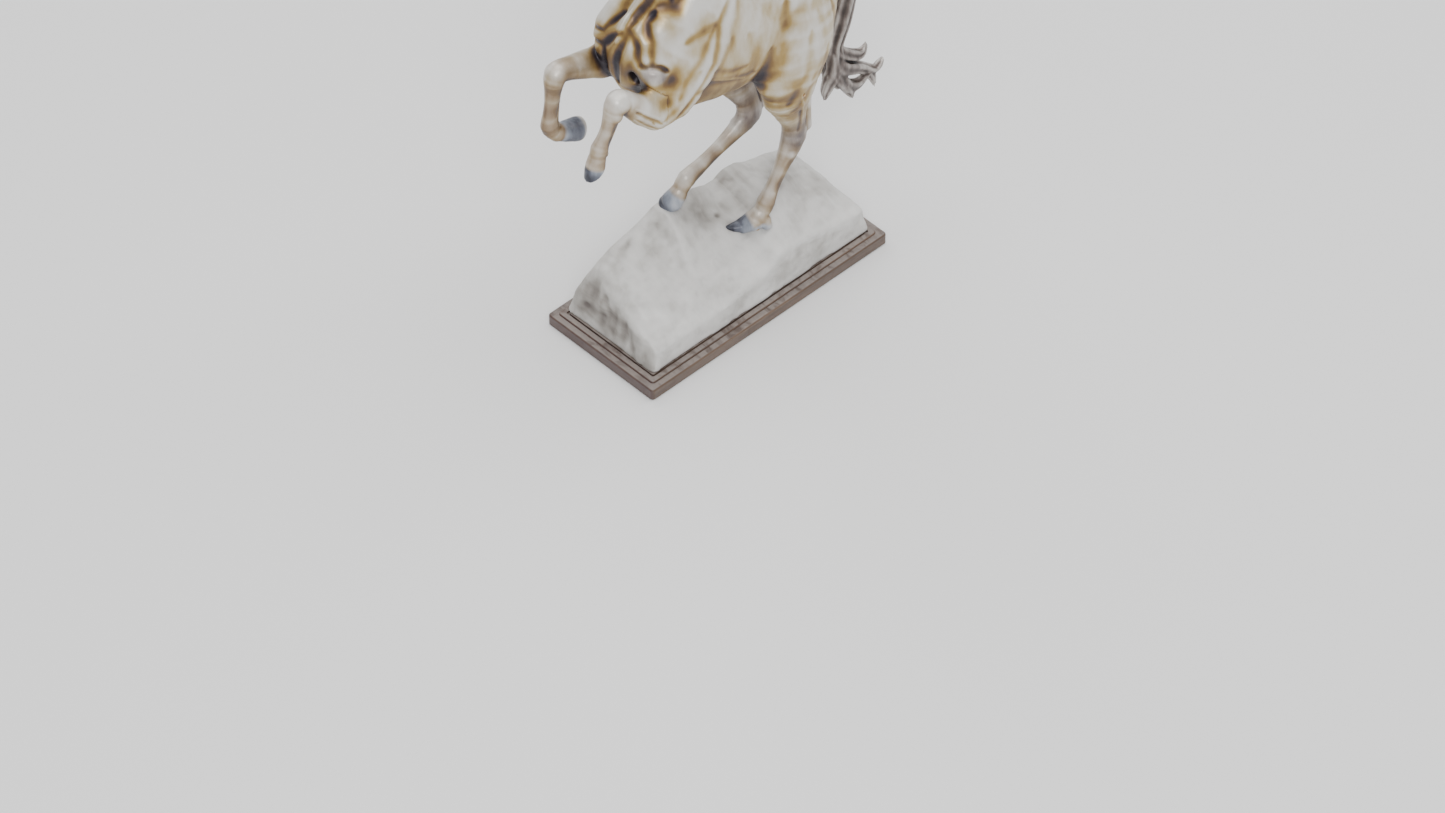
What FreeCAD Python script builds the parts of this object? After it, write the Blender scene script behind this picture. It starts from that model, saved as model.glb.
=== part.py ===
"""Rearing bronze horse on a stone rock and a moulded wooden plinth.

Millimetres, +Z up, origin at the middle of the plinth's underside.  The horse faces -X, so its
left side is -Y.  Each function below makes one of the real object's separate pieces.
"""
import FreeCAD, Part
import math
import os

os.makedirs("parts", exist_ok=True)
V = FreeCAD.Vector

# ---- plinth and felt
PLINTH_L = 250.0
PLINTH_W = 117.0
PLINTH_FOOT = 1.0
PLINTH_FACE_TOP = 10.5
PLINTH_TOP = 12.0
PLINTH_CORNER = 3.0
BEAD_INSET = 5.6
BEAD_ROUND = 1.3
GROOVE_INSET = 10.1
GROOVE_WIDE = 1.7
GROOVE_DEEP = 2.0
FELT_MARGIN = 3.0

# ---- rock
ROCK_X = (-113.0, -107.0, -99.0, -84.0, -66.0, -48.0, -32.0, -16.0, 2.0, 20.0, 40.0, 60.0, 80.0,
          96.0, 108.0, 117.0)
ROCK_CREST = (24.0, 50.0, 63.0, 73.0, 78.0, 82.0, 86.0, 85.0, 79.0, 73.0, 72.0, 67.0, 63.0, 57.0,
              45.0, 32.0)
ROCK_NEAR_EDGE = (31.0, 36.0, 36.0, 35.0, 34.0, 33.0, 33.0, 33.0, 33.0, 34.0, 36.0, 37.0, 37.0,
                  36.0, 33.0, 27.0)
ROCK_NEAR_Y = -47.0
ROCK_FAR_Y = 50.0
ROCK_CREST_Y = 30.0
ROCK_STEPS_Y = (-42.0, -30.0, -16.0, 0.0, 14.0, 30.0, 38.0, 45.0)

# ---- horse, as centre line stations (x, y, z, half depth fore and aft, half width across)
TRUNK = [(110, 0, 262, 6, 6), (104, 0, 258, 19, 15), (90, 0, 252, 33, 27), (64, 0, 254, 49, 38),
         (37, 0, 257, 52, 40), (8, 0, 268, 56, 42), (-22, 0, 284, 61, 42), (-48, 0, 299, 60, 42),
         (-72, 0, 308, 49, 38), (-90, 0, 313, 34, 29), (-100, 0, 316, 19, 17), (-104, 0, 317, 8, 8)]
NECK = [(-28, 0, 318, 42, 26), (-44, 0, 352, 43, 25), (-52, 0, 388, 31, 18.5),
        (-58, 0, 420, 24, 15), (-60, 0, 448, 19, 13)]
HEAD = [(-50, 0, 460, 13, 11), (-64, 0, 452, 20, 14.5), (-82, 0, 443, 20.5, 15),
        (-100, 0, 433, 15, 12), (-119, 0, 421, 11.5, 9.5), (-134, 0, 411, 11.5, 10.5),
        (-142, 0, 405, 8.5, 8.5)]
THIGH_LEFT = [(66, -8, 292, 14, 9), (63, -20, 272, 27, 16), (58, -26, 252, 34, 19),
              (54, -28, 232, 35, 20), (48, -29, 212, 31, 18), (49, -27, 190, 24, 14.5)]
THIGH_RIGHT = [(66, 8, 292, 14, 9), (62, 20, 273, 27, 16), (56, 27, 254, 34, 19),
               (48, 29, 234, 33, 19.5), (39, 30, 214, 29, 18), (36, 28, 192, 22, 14.5)]
SHANK_LEFT = [(49, -27, 190, 24, 14.5), (54, -24, 168, 16.5, 11), (60, -20.5, 147, 11.5, 8.5),
              (63, -18.5, 128, 12.5, 8.5), (54, -18.5, 112, 8.3, 6.5), (46, -18.7, 100, 6.3, 5.2),
              (38, -19, 88, 6.2, 5.2), (32.7, -19, 78.5, 7.8, 6.8), (27, -19, 70, 6.5, 6.5)]
SHANK_RIGHT = [(36, 28, 192, 22, 14.5), (42, 24, 170, 16, 11), (50, 20.5, 150, 11.5, 8.5),
               (52, 19, 134, 12.5, 8.5), (38, 19, 126, 8.3, 6.5), (18, 19, 118.5, 6.3, 5.2),
               (-2, 19, 113, 6.2, 5.2), (-15, 19, 108.5, 7.8, 6.8), (-22, 19.5, 101, 6.5, 6.5)]
SHOULDER_LEFT = [(-30, -22, 330, 16, 10), (-46, -26, 308, 24, 15), (-62, -29, 285, 24, 16),
                 (-78, -31, 268, 18, 14.5), (-94, -31, 264, 13.5, 12)]
SHOULDER_RIGHT = [(-30, 22, 332, 16, 10), (-46, 26, 312, 24, 15), (-62, 28, 294, 22, 15),
                  (-78, 28, 280, 18, 14), (-94, 28, 277, 14, 12)]
FOREARM_LEFT = [(-94, -31, 264, 13.5, 12), (-107, -31, 275, 12.5, 11),
                (-120, -30.5, 289, 10, 9.5), (-130, -30, 298, 9.5, 9.5),
                (-136, -30, 303, 6, 6.5)]
CANNON_LEFT = [(-130, -30, 305, 6, 6.5), (-134, -30, 297, 8.5, 8.8), (-138, -30, 288, 7, 7.2),
               (-142, -30, 279, 5.8, 5.4), (-147, -30, 269, 5.8, 5.4), (-151, -30, 261, 7, 6.5),
               (-153, -30, 254, 6, 6), (-155, -30, 247, 9, 8), (-157.5, -30, 239, 10.5, 9.5)]
FOREARM_RIGHT = [(-94, 28, 277, 14, 12), (-110, 28, 284, 12, 11), (-126, 28, 290, 10, 9.5),
                 (-137, 28, 294, 9.5, 9.5), (-144, 28, 296, 6, 6.5)]
CANNON_RIGHT = [(-139, 28, 301, 6, 6.5), (-141.5, 28, 292, 8.5, 8.8), (-143, 28, 282, 7, 7.2),
                (-145, 28, 268, 5.8, 5.4), (-147, 28, 256, 5.8, 5.4), (-147.5, 28, 246, 7.2, 6.5),
                (-146, 28, 237, 6, 6)]
TOE_RIGHT = [(-151, 28, 240, 5, 5), (-144, 28, 236, 6.5, 6.5), (-135, 28, 230.5, 8, 8),
             (-125, 28, 226, 10.5, 9)]
TAIL = [(92, 0, 266, 8, 8), (108, -2, 268, 12, 11), (121, -4, 250, 14, 12),
        (127, -6, 222, 13, 13), (122, -6, 188, 9, 10), (125, -8, 160, 12, 12),
        (136, -9, 138, 16, 12), (152, -10, 126, 9, 7), (166, -10, 120, 4, 3.5)]
HOOF_YAW = 22.0
HOOF_LEFT = (20.0, -15.0, 16.5, 11.5, 71.0, 27.0, -19.0)
HOOF_RIGHT = (-31.0, 21.5, 15.0, 11.0, 102.0, -22.0, 19.5)
MANE_ROOTS = [(-50, 472), (-42, 456), (-38, 436), (-32, 414), (-22, 392), (-8, 370)]
WALL = 6.0

# ---- joints and fixings
PEG_R = 4.5
PEG_IN = 14.0
JOINT_PIN_R = 1.25
JOINT_PIN_REACH = 40.0
JOINT_PIN_SUNK = 4.0
STUD_R = 2.5
STUD_FOOT = 14.0
STUD_AT = {"left": (24.0, -18.0, 66.0), "right": (-28.0, 20.0, 96.0)}
POCKET_R = 8.0
POCKET_TOP = 22.0
NUT_FLATS = 8.0
NUT_H = 4.0
WASHER_R = 6.0
WASHER_T = 1.0
BASE_SCREW_AT = ((-80.0, 0.0), (80.0, 0.0))
SCREW_R = 2.5
SCREW_HEAD_R = 4.8
SCREW_HEAD_H = 3.5
SCREW_SEAT = 6.0
SCREW_TOP = 26.0
INSERT_R = 4.0
INSERT_TOP = 28.0
CORE_PLUG_AT = (6.0, 0.0)
CORE_PLUG_R = 6.0


def cylinder(radius, height, base, axis=(0, 0, 1)):
    return Part.makeCylinder(radius, height, V(*base), V(*axis))


def outline(centre, tangent, deep, wide, count=12):
    """Closed oval across a centre line."""
    side = V(0, 1, 0) - tangent * tangent.y
    side.normalize()
    up = tangent.cross(side)
    points = []
    for k in range(count):
        turn = 2.0 * math.pi * k / count
        points.append(centre + up * (deep * math.cos(turn)) + side * (wide * math.sin(turn)))
    curve = Part.BSplineCurve()
    curve.interpolate(Points=points, PeriodicFlag=True)
    return Part.Wire([curve.toShape()])


def eased(stations):
    """The same stations with one more between each pair, on a smooth curve."""
    finer = []
    last = len(stations) - 1
    for i in range(last):
        around = (stations[max(i - 1, 0)], stations[i], stations[i + 1], stations[min(i + 2, last)])
        finer.append(stations[i])
        finer.append(tuple((9 * (q + r) - (p + t)) / 16.0 for p, q, r, t in zip(*around)))
    finer.append(stations[last])
    return finer


def ovals(stations):
    centres = [V(*s[:3]) for s in stations]
    wires = []
    for i, s in enumerate(stations):
        tangent = centres[min(i + 1, len(centres) - 1)] - centres[max(i - 1, 0)]
        tangent.normalize()
        wires.append(outline(centres[i], tangent, s[3], s[4]))
    return wires


def skin(wires):
    return Part.makeLoft(wires, True, False, False, 3)


def limb(stations):
    """Smooth solid through ovals placed along a centre line."""
    return skin(ovals(eased(stations)))


def limb_in_two(upper, lower):
    """One smooth limb parted at the oval both lists share: root, member, seam centre and axis."""
    wires = ovals(eased(upper + lower[1:]))
    cut = 2 * (len(upper) - 1)
    axis = V(*lower[1][:3]) - V(*upper[-2][:3])
    axis.normalize()
    return skin(wires[:cut + 1]), skin(wires[cut:]), V(*lower[0][:3]), axis


def rounded_slab(length, width, bottom, top, corner):
    slab = Part.makeBox(length, width, top - bottom, V(-length / 2, -width / 2, bottom))
    return slab.makeFillet(corner, [e for e in slab.Edges if abs(e.tangentAt(0).z) > 0.9])


def rounded_ring(inset, wide, bottom, top, corner):
    outer = rounded_slab(PLINTH_L - 2 * inset, PLINTH_W - 2 * inset, bottom, top, corner)
    grown = 2 * (inset + wide)
    return outer.cut(rounded_slab(PLINTH_L - grown, PLINTH_W - grown, bottom, top, corner))


def edges_at(solid, height):
    boxes = [(e, e.BoundBox) for e in solid.Edges]
    return [e for e, box in boxes if max(abs(box.ZMin - height), abs(box.ZMax - height)) < 0.01]


def make_plinth():
    """Moulded board: upright edge, flat margin, raised bead and a shadow groove round the rock."""
    board = rounded_slab(PLINTH_L, PLINTH_W, PLINTH_FOOT, PLINTH_FACE_TOP, PLINTH_CORNER)
    board = board.makeFillet(1.6, edges_at(board, PLINTH_FACE_TOP))
    bead = rounded_slab(PLINTH_L - 2 * BEAD_INSET, PLINTH_W - 2 * BEAD_INSET,
                        PLINTH_FACE_TOP - 2, PLINTH_TOP, 3)
    bead = bead.makeFillet(BEAD_ROUND, edges_at(bead, PLINTH_TOP))
    board = board.fuse(bead)
    board = board.cut(rounded_ring(GROOVE_INSET, GROOVE_WIDE, PLINTH_TOP - GROOVE_DEEP, 20, 1.5))
    for x, y in BASE_SCREW_AT:
        board = board.cut(cylinder(SCREW_HEAD_R + 0.3, SCREW_SEAT - PLINTH_FOOT, (x, y, PLINTH_FOOT)))
        board = board.cut(cylinder(SCREW_R + 0.2, PLINTH_TOP, (x, y, PLINTH_FOOT)))
    return board


def rock_section(x, crest, near_edge):
    """One upright outline across the rock, from the near foot over the crest to the far foot."""
    points = [V(x, ROCK_NEAR_Y, PLINTH_TOP), V(x, ROCK_NEAR_Y, near_edge - 5)]
    for y in ROCK_STEPS_Y:
        if y <= ROCK_CREST_Y:
            part_way = (y - ROCK_STEPS_Y[0]) / (ROCK_CREST_Y - ROCK_STEPS_Y[0])
            z = near_edge + (crest - near_edge) * math.sin(part_way * math.pi / 2)
        else:
            z = crest - (crest - 30) * ((y - ROCK_CREST_Y) / 20.0) ** 1.5
        points.append(V(x, y, z))
    points.append(V(x, ROCK_FAR_Y, max(18.0, min(crest - 14, 34))))
    points.append(V(x, ROCK_FAR_Y, PLINTH_TOP))
    return points


def make_rock():
    """Hewn block built from flat facets between the outlines."""
    rows = [rock_section(x, c, n) for x, c, n in zip(ROCK_X, ROCK_CREST, ROCK_NEAR_EDGE)]
    faces = []
    count = len(rows[0])
    for a, b in zip(rows, rows[1:]):
        for k in range(count):
            m = (k + 1) % count
            for trio in ((a[k], a[m], b[m]), (a[k], b[m], b[k])):
                faces.append(Part.Face(Part.makePolygon(list(trio) + [trio[0]])))
    for row in (rows[0], rows[-1]):
        faces.append(Part.Face(Part.makePolygon(row + [row[0]])))
    solid = Part.Solid(Part.Shell(faces))
    if solid.Volume < 0:
        solid.reverse()
    return solid


def make_hoof(spec, foot):
    """Hoof block from a long sole up to the coronet; the rock trims its sole."""
    x, y, long_half, wide_half, top, top_x, top_y = spec
    wires = []
    for cx, cy, z, a, b in ((x, y, foot, long_half, wide_half), (top_x, top_y, top, 8.5, 7.5)):
        wire = outline(V(0, 0, 0), V(0, 0, 1), a, b)
        wire.Placement = FreeCAD.Placement(V(cx, cy, z), FreeCAD.Rotation(V(0, 0, 1), -HOOF_YAW))
        wires.append(wire)
    return Part.makeLoft(wires, True, True)


def make_ear(side):
    """Pricked ear, hollow in front."""
    root = (-54, side * 7.5, 466, 5.5, 4.5)
    cone = limb([root, (-55, side * 8.5, 478, 5.0, 4.0), (-58, side * 8, 494, 0.9, 0.8)])
    cup = limb([(-60, side * 8.5, 471, 3.4, 2.6), (-60.5, side * 9, 479, 3.2, 2.4),
                (-60.5, side * 8.5, 489, 0.6, 0.5)])
    return cone.cut(cup)


def make_mane():
    """Crest ridge with locks swept back down the neck's left and right sides."""
    hair = limb([(-58, 0, 470, 7, 6), (-46, 0, 458, 9, 6.5), (-40, 0, 436, 10, 7),
                 (-33, 0, 412, 10, 7), (-20, 0, 388, 10, 7), (-4, 0, 362, 9, 6.5),
                 (10, 0, 344, 5, 4.5)])
    for k, (x, z) in enumerate(MANE_ROOTS):
        side = -1 if k % 2 == 0 else 1
        hair = hair.fuse(limb([(x - 3, side * 2, z - 2, 7, 5), (x + 10, side * 8, z + 2, 7, 5),
                               (x + 24, side * 11, z - 6, 5, 4), (x + 34, side * 9, z - 4, 1.2, 1)]))
    return hair


def make_forelock():
    return limb([(-56, 0, 473, 4.5, 5), (-70, 1, 474, 5, 6), (-84, 2, 468, 4, 5),
                 (-96, 3, 459, 1.2, 1.6)])


def peg_at(seam, axis, radius, inward, outward):
    """Locating peg of a Roman joint: it belongs to the smaller casting and fills the socket."""
    return cylinder(radius, inward + outward, tuple(seam - axis * inward), tuple(axis))


def pin_across(seam, axis, body, side):
    """Pin through the wall and the peg, driven in below the skin and chased over."""
    middle = seam - axis * (PEG_IN * 0.55)
    start = (middle.x, middle.y - side * (PEG_R + 1), middle.z)
    through = cylinder(JOINT_PIN_R, JOINT_PIN_REACH, start, (0, side, 0)).common(body)
    return cylinder(JOINT_PIN_R, through.BoundBox.YLength - JOINT_PIN_SUNK, start, (0, side, 0))


def hexagon(flats, bottom, height, x, y):
    corner = flats / math.sqrt(3)
    ring = [V(x + corner * math.cos(math.radians(60 * k)),
              y + corner * math.sin(math.radians(60 * k)), bottom) for k in range(7)]
    return Part.Face(Part.makePolygon(ring)).extrude(V(0, 0, height))


def shrunk(stations, wall):
    return [(x, y, z, a - wall, b - wall) for x, y, z, a, b in stations]


def export(name, solids):
    shape = solids[0] if len(solids) == 1 else Part.Compound(solids)
    shape.exportStep("parts/%s.step" % name)


def main():
    rock = make_rock()

    # torso outer form carries the roots of the four limbs
    parted = {"hind_leg_left": limb_in_two(THIGH_LEFT, SHANK_LEFT),
              "hind_leg_right": limb_in_two(THIGH_RIGHT, SHANK_RIGHT),
              "foreleg_left": limb_in_two(SHOULDER_LEFT, FOREARM_LEFT),
              "foreleg_right": limb_in_two(SHOULDER_RIGHT, FOREARM_RIGHT)}
    ends = {"foreleg_left": [limb(CANNON_LEFT)],
            "foreleg_right": [limb(CANNON_RIGHT), limb(TOE_RIGHT)],
            "hind_leg_left": [make_hoof(HOOF_LEFT, 40.0)],
            "hind_leg_right": [make_hoof(HOOF_RIGHT, 70.0)]}
    body = limb(TRUNK)
    for root, _, _, _ in parted.values():
        body = body.fuse(root)
    torso = body.cut(limb(shrunk(TRUNK[2:-1], WALL)))

    # neck, head, ears, hair and tail, each trimmed to the casting it is brazed on
    neck = limb(NECK).cut(body)
    neck_peg = peg_at(V(-46, 0, 352), V(-0.42, 0, 0.907), 9.0, 12.0, 8.0)
    torso = torso.cut(neck_peg)
    neck = neck.fuse(neck_peg)
    head = limb(HEAD).cut(neck)
    ears = {}
    for name, side in (("ear_left", -1), ("ear_right", 1)):
        ears[name] = make_ear(side).cut(head).cut(neck)
    mane = make_mane().cut(body).cut(neck).cut(head)
    forelock = make_forelock().cut(head).cut(mane)
    for ear in ears.values():
        mane = mane.cut(ear)
        forelock = forelock.cut(ear)
    tail = limb(TAIL).cut(body)
    tail_peg = peg_at(V(108, 0, 266), V(0.97, 0, 0.24), 3.5, 14.0, 4.0)
    torso = torso.cut(tail_peg)
    tail = tail.fuse(tail_peg)

    # limbs with pegs let into the torso, pinned across
    legs = {}
    pins = []
    for name, (_, member, seam, axis) in parted.items():
        side = -1 if name.endswith("left") else 1
        peg = peg_at(seam, axis, PEG_R, PEG_IN, 2.0)
        pin = pin_across(seam, axis, body, side)
        legs[name] = member.fuse(ends[name] + [peg]).cut(pin)
        torso = torso.cut(peg).cut(pin)
        pins.append(pin)

    # hind hooves stand on the rock and are held by threaded studs
    studs = {}
    nuts = []
    washers = []
    for side, (x, y, top) in STUD_AT.items():
        stud = cylinder(STUD_R, top - STUD_FOOT, (x, y, STUD_FOOT))
        name = "hind_leg_" + side
        legs[name] = legs[name].cut(rock).cut(stud)
        studs["hoof_stud_" + side] = stud
        washer = cylinder(WASHER_R, WASHER_T, (x, y, POCKET_TOP - WASHER_T)).cut(stud)
        nut = hexagon(NUT_FLATS, POCKET_TOP - WASHER_T - NUT_H, NUT_H, x, y).cut(stud)
        nuts.append(nut)
        washers.append(washer)
    for x, y, top in STUD_AT.values():
        rock = rock.cut(cylinder(STUD_R, top - STUD_FOOT, (x, y, STUD_FOOT)))
        rock = rock.cut(cylinder(POCKET_R, POCKET_TOP - PLINTH_TOP, (x, y, PLINTH_TOP)))

    # rock screwed down to the plinth from below
    screws = []
    screw_washers = []
    inserts = []
    for x, y in BASE_SCREW_AT:
        shank = cylinder(SCREW_R, SCREW_TOP - 2.0, (x, y, 2.0))
        screw_washers.append(cylinder(SCREW_HEAD_R, 1.0, (x, y, SCREW_SEAT - 1.0)).cut(shank))
        screws.append(shank.fuse(cylinder(4.2, SCREW_HEAD_H, (x, y, SCREW_SEAT - 1.0 - SCREW_HEAD_H))))
        hole = cylinder(INSERT_R, INSERT_TOP - PLINTH_TOP, (x, y, PLINTH_TOP))
        inserts.append(hole.cut(shank))
        rock = rock.cut(hole)

    # core vent under the belly, stopped with a plug
    vent = cylinder(CORE_PLUG_R, 40.0, (CORE_PLUG_AT[0], CORE_PLUG_AT[1], 195.0))
    plug = torso.common(vent)
    torso = torso.cut(vent)

    felt = rounded_slab(PLINTH_L - 2 * FELT_MARGIN, PLINTH_W - 2 * FELT_MARGIN, 0.0, PLINTH_FOOT, 2)
    nodes = {"felt_pad": [felt], "plinth": [make_plinth()], "rock": [rock],
             "base_screws": screws, "base_screw_washers": screw_washers, "rock_inserts": inserts,
             "stud_nuts": nuts, "stud_washers": washers, "torso": [torso], "core_plug": [plug],
             "neck": [neck], "head": [head], "mane": [mane], "forelock": [forelock],
             "tail": [tail], "joint_pins": pins}
    nodes.update({name: [solid] for name, solid in legs.items()})
    nodes.update({name: [solid] for name, solid in ears.items()})
    nodes.update({name: [solid] for name, solid in studs.items()})
    for name, solids in nodes.items():
        for solid in solids:
            print(name, solid.isValid(), len(solid.Solids), round(solid.Volume, 1))
        export(name, solids)


main()
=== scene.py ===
"""Rearing bronze horse on a stone rock and a moulded plinth: the visual model round the CAD frame.

The bronze is sculpted in code as signed distances (negative inside) on voxel grids, in
millimetres in the row's frame, and each casting is meshed from its own grid.  A station is
(x, y, z, a, b): a point of a centre line and the two half widths of the oval there.
"""
import bpy
import math
import numpy as np
import openvdb
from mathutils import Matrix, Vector


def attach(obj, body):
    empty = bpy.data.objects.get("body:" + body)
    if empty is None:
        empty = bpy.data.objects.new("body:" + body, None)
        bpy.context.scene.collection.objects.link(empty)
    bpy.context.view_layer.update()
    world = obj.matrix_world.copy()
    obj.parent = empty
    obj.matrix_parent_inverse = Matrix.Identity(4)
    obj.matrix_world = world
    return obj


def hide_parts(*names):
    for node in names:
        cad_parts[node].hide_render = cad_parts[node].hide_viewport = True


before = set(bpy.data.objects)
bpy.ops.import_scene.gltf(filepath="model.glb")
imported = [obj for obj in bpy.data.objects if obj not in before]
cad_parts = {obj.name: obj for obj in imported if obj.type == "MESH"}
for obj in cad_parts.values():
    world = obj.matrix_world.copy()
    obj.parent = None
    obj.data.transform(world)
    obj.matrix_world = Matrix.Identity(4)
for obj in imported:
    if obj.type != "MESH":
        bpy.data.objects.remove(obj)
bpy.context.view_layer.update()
MM = 0.001
FAR = 40.0
TINY = 1e-6
f32 = np.float32


# ---------------------------------------------------------------- voxel sculpting
class Clay:
    """Signed distances on a regular grid of one casting's box."""

    def __init__(self, low, high, step):
        self.step = step
        self.low = np.array(low, float)
        self.axes = [np.arange(low[i], high[i] + step, step).astype(f32) for i in range(3)]
        self.d = np.full([len(a) for a in self.axes], FAR, f32)

    def window(self, low, high):
        cut = []
        for axis, a, b in zip(self.axes, low, high):
            i = int(np.searchsorted(axis, a))
            j = int(np.searchsorted(axis, b))
            if j - i < 1:
                return None
            cut.append(slice(i, j))
        return tuple(cut)

    def inner_window(self, p, q, reach, outer):
        """Window round a stretch from p to q, in the grid and again within an outer window."""
        small = self.window(np.minimum(p[:3], q[:3]) - reach, np.maximum(p[:3], q[:3]) + reach)
        if small is None:
            return None, None
        return small, tuple(slice(s.start - c.start, s.stop - c.start) for s, c in zip(small, outer))

    def points(self, cut):
        x, y, z = (axis[c] for axis, c in zip(self.axes, cut))
        return x[:, None, None], y[None, :, None], z[None, None, :]

    def everywhere(self):
        return self.points(tuple(slice(0, len(a)) for a in self.axes))

    def empty(self):
        """Bare clay on the same grid."""
        twin = Clay.__new__(Clay)
        twin.step, twin.low, twin.axes = self.step, self.low, self.axes
        twin.d = np.full(self.d.shape, FAR, f32)
        return twin

    def sample(self, field, where):
        """Trilinear value of a field at points in millimetres."""
        g = (where - self.low) / self.step
        top = np.array(self.d.shape) - 2
        i = np.clip(np.floor(g).astype(int), 0, top)
        t = np.clip(g - i, 0.0, 1.0)
        total = 0.0
        for a in (0, 1):
            for b in (0, 1):
                for c in (0, 1):
                    w = (t[:, 0] if a else 1 - t[:, 0]) * (t[:, 1] if b else 1 - t[:, 1])
                    w = w * (t[:, 2] if c else 1 - t[:, 2])
                    total = total + w * field[i[:, 0] + a, i[:, 1] + b, i[:, 2] + c]
        return total


def melt(a, b, k):
    """Smooth union of two distances, blended over k mm."""
    if k <= 0:
        return np.minimum(a, b)
    h = np.clip(0.5 + 0.5 * (a - b) / k, 0.0, 1.0)
    return b * h + a * (1 - h) - k * h * (1 - h)


def carve(a, b, k):
    """Smooth removal of b from a."""
    return -melt(-a, b, k)


def eased(stations):
    """The same stations with one more between each pair, on a smooth curve."""
    finer = []
    last = len(stations) - 1
    for i in range(last):
        around = (stations[max(i - 1, 0)], stations[i], stations[i + 1], stations[min(i + 2, last)])
        finer.append(tuple(stations[i]))
        finer.append(tuple((9 * (q + r) - (p + t)) / 16.0 for p, q, r, t in zip(*around)))
    finer.append(tuple(stations[last]))
    return finer


def measured_from(xyz, p):
    return [a - f32(b) for a, b in zip(xyz, p)]


def dot(xyz, n):
    return xyz[0] * f32(n[0]) + xyz[1] * f32(n[1]) + xyz[2] * f32(n[2])


def segment_distance(xyz, p, q, grain=None):
    """Distance to a stretch of oval tube from station p to station q, with ridges if it has a grain."""
    t_vec = np.array(q[:3], float) - np.array(p[:3], float)
    length = max(float(np.linalg.norm(t_vec)), TINY)
    t_vec = t_vec / length
    side = np.array([0.0, 1.0, 0.0]) - t_vec * t_vec[1]
    if np.linalg.norm(side) < 0.2:
        side = np.array([1.0, 0.0, 0.0]) - t_vec * t_vec[0]
    side = side / np.linalg.norm(side)
    xyz = measured_from(xyz, p)
    along = dot(xyz, t_vec)
    t = np.clip(along / f32(length), 0, 1)
    a = f32(p[3]) + t * f32(q[3] - p[3])
    b = f32(p[4]) + t * f32(q[4] - p[4])
    c = np.minimum(a, b)
    us = dot(xyz, np.cross(t_vec, side)) / a
    vs = dot(xyz, side) / b
    ws = (along - t * f32(length)) / c
    k0 = np.sqrt(us * us + vs * vs + ws * ws)
    k1 = np.sqrt((us / a) ** 2 + (vs / b) ** 2 + (ws / c) ** 2) + f32(TINY)
    d = k0 * (k0 - 1) / k1
    if grain is not None:
        count, depth, twist, start = grain
        turn = (start + t * length) * f32(twist)
        d = d + f32(depth) * np.sin(count * np.arctan2(vs, us) + turn)
    return d


def tube(clay, stations, k=4.0, grain=None, smooth=1):
    """Adds a limb, muscle or lock of hair: an oval tube through its stations."""
    for _ in range(smooth):
        stations = eased(stations)
    around = np.array(stations)
    reach = max(around[:, 3].max(), around[:, 4].max()) + k + 3.0
    cut = clay.window(around[:, :3].min(0) - reach, around[:, :3].max(0) + reach)
    if cut is None:
        return
    part = np.full(clay.d[cut].shape, FAR, f32)
    travelled = 0.0
    for p, q in zip(stations, stations[1:]):
        r = max(p[3], q[3], p[4], q[4]) + k + 3.0
        small, local = clay.inner_window(p, q, r, cut)
        if small is not None:
            g = None if grain is None else (*grain, travelled)
            part[local] = np.minimum(part[local], segment_distance(clay.points(small), p, q, g))
        travelled += math.dist(p[:3], q[:3])
    clay.d[cut] = melt(clay.d[cut], part, k)


def ball(clay, centre, radii, k=3.0, dig=False, tilt=0.0):
    """Adds or digs out an egg shape, tilted in the fore and aft plane."""
    r = max(radii) + k + 2
    cut = clay.window(np.array(centre) - r, np.array(centre) + r)
    if cut is None:
        return
    x, y, z = measured_from(clay.points(cut), centre)
    ca = f32(math.cos(math.radians(tilt)))
    sa = f32(math.sin(math.radians(tilt)))
    a, b, c = (f32(v) for v in radii)
    u = (x * ca + z * sa) / a
    w = (z * ca - x * sa) / c
    v = y / b
    k0 = np.sqrt(u * u + v * v + w * w)
    d = k0 * (k0 - 1) / (np.sqrt((u / a) ** 2 + (v / b) ** 2 + (w / c) ** 2) + f32(TINY))
    clay.d[cut] = carve(clay.d[cut], d, k) if dig else melt(clay.d[cut], d, k)


def stroke(clay, path, width, depth):
    """Presses a soft groove along a path, or raises a soft ridge where depth is negative."""
    path = [np.array(p, float) for p in path]
    reach = width * 2.2
    around = np.array(path)
    cut = clay.window(around.min(0) - reach, around.max(0) + reach)
    if cut is None:
        return
    best = np.full(clay.d[cut].shape, 1e6, f32)
    lengths = [max(float(np.linalg.norm(q - p)), TINY) for p, q in zip(path, path[1:])]
    done = 0.0
    for p, q, length in zip(path, path[1:], lengths):
        small, local = clay.inner_window(p, q, reach, cut)
        if small is not None:
            way = [f32(v) for v in (q - p) / length]
            xyz = measured_from(clay.points(small), p)
            t = np.clip(dot(xyz, way), 0, f32(length))
            gap = sum((a - t * b) ** 2 for a, b in zip(xyz, way))
            along = (done + t) / sum(lengths)
            thin = f32(0.35) + f32(0.65) * np.sqrt(np.clip(4 * along * (1 - along), 0, 1))
            best[local] = np.minimum(best[local], gap / (thin * thin))
        done += length
    clay.d[cut] += f32(depth) * np.exp(-best / f32(width * width))


# ---------------------------------------------------------------- the horse's masses
def mirrored(stations, side):
    """The same stations on the left (-1) or the right (1)."""
    return [(s[0], s[1] * side, *s[2:]) for s in stations]


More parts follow.
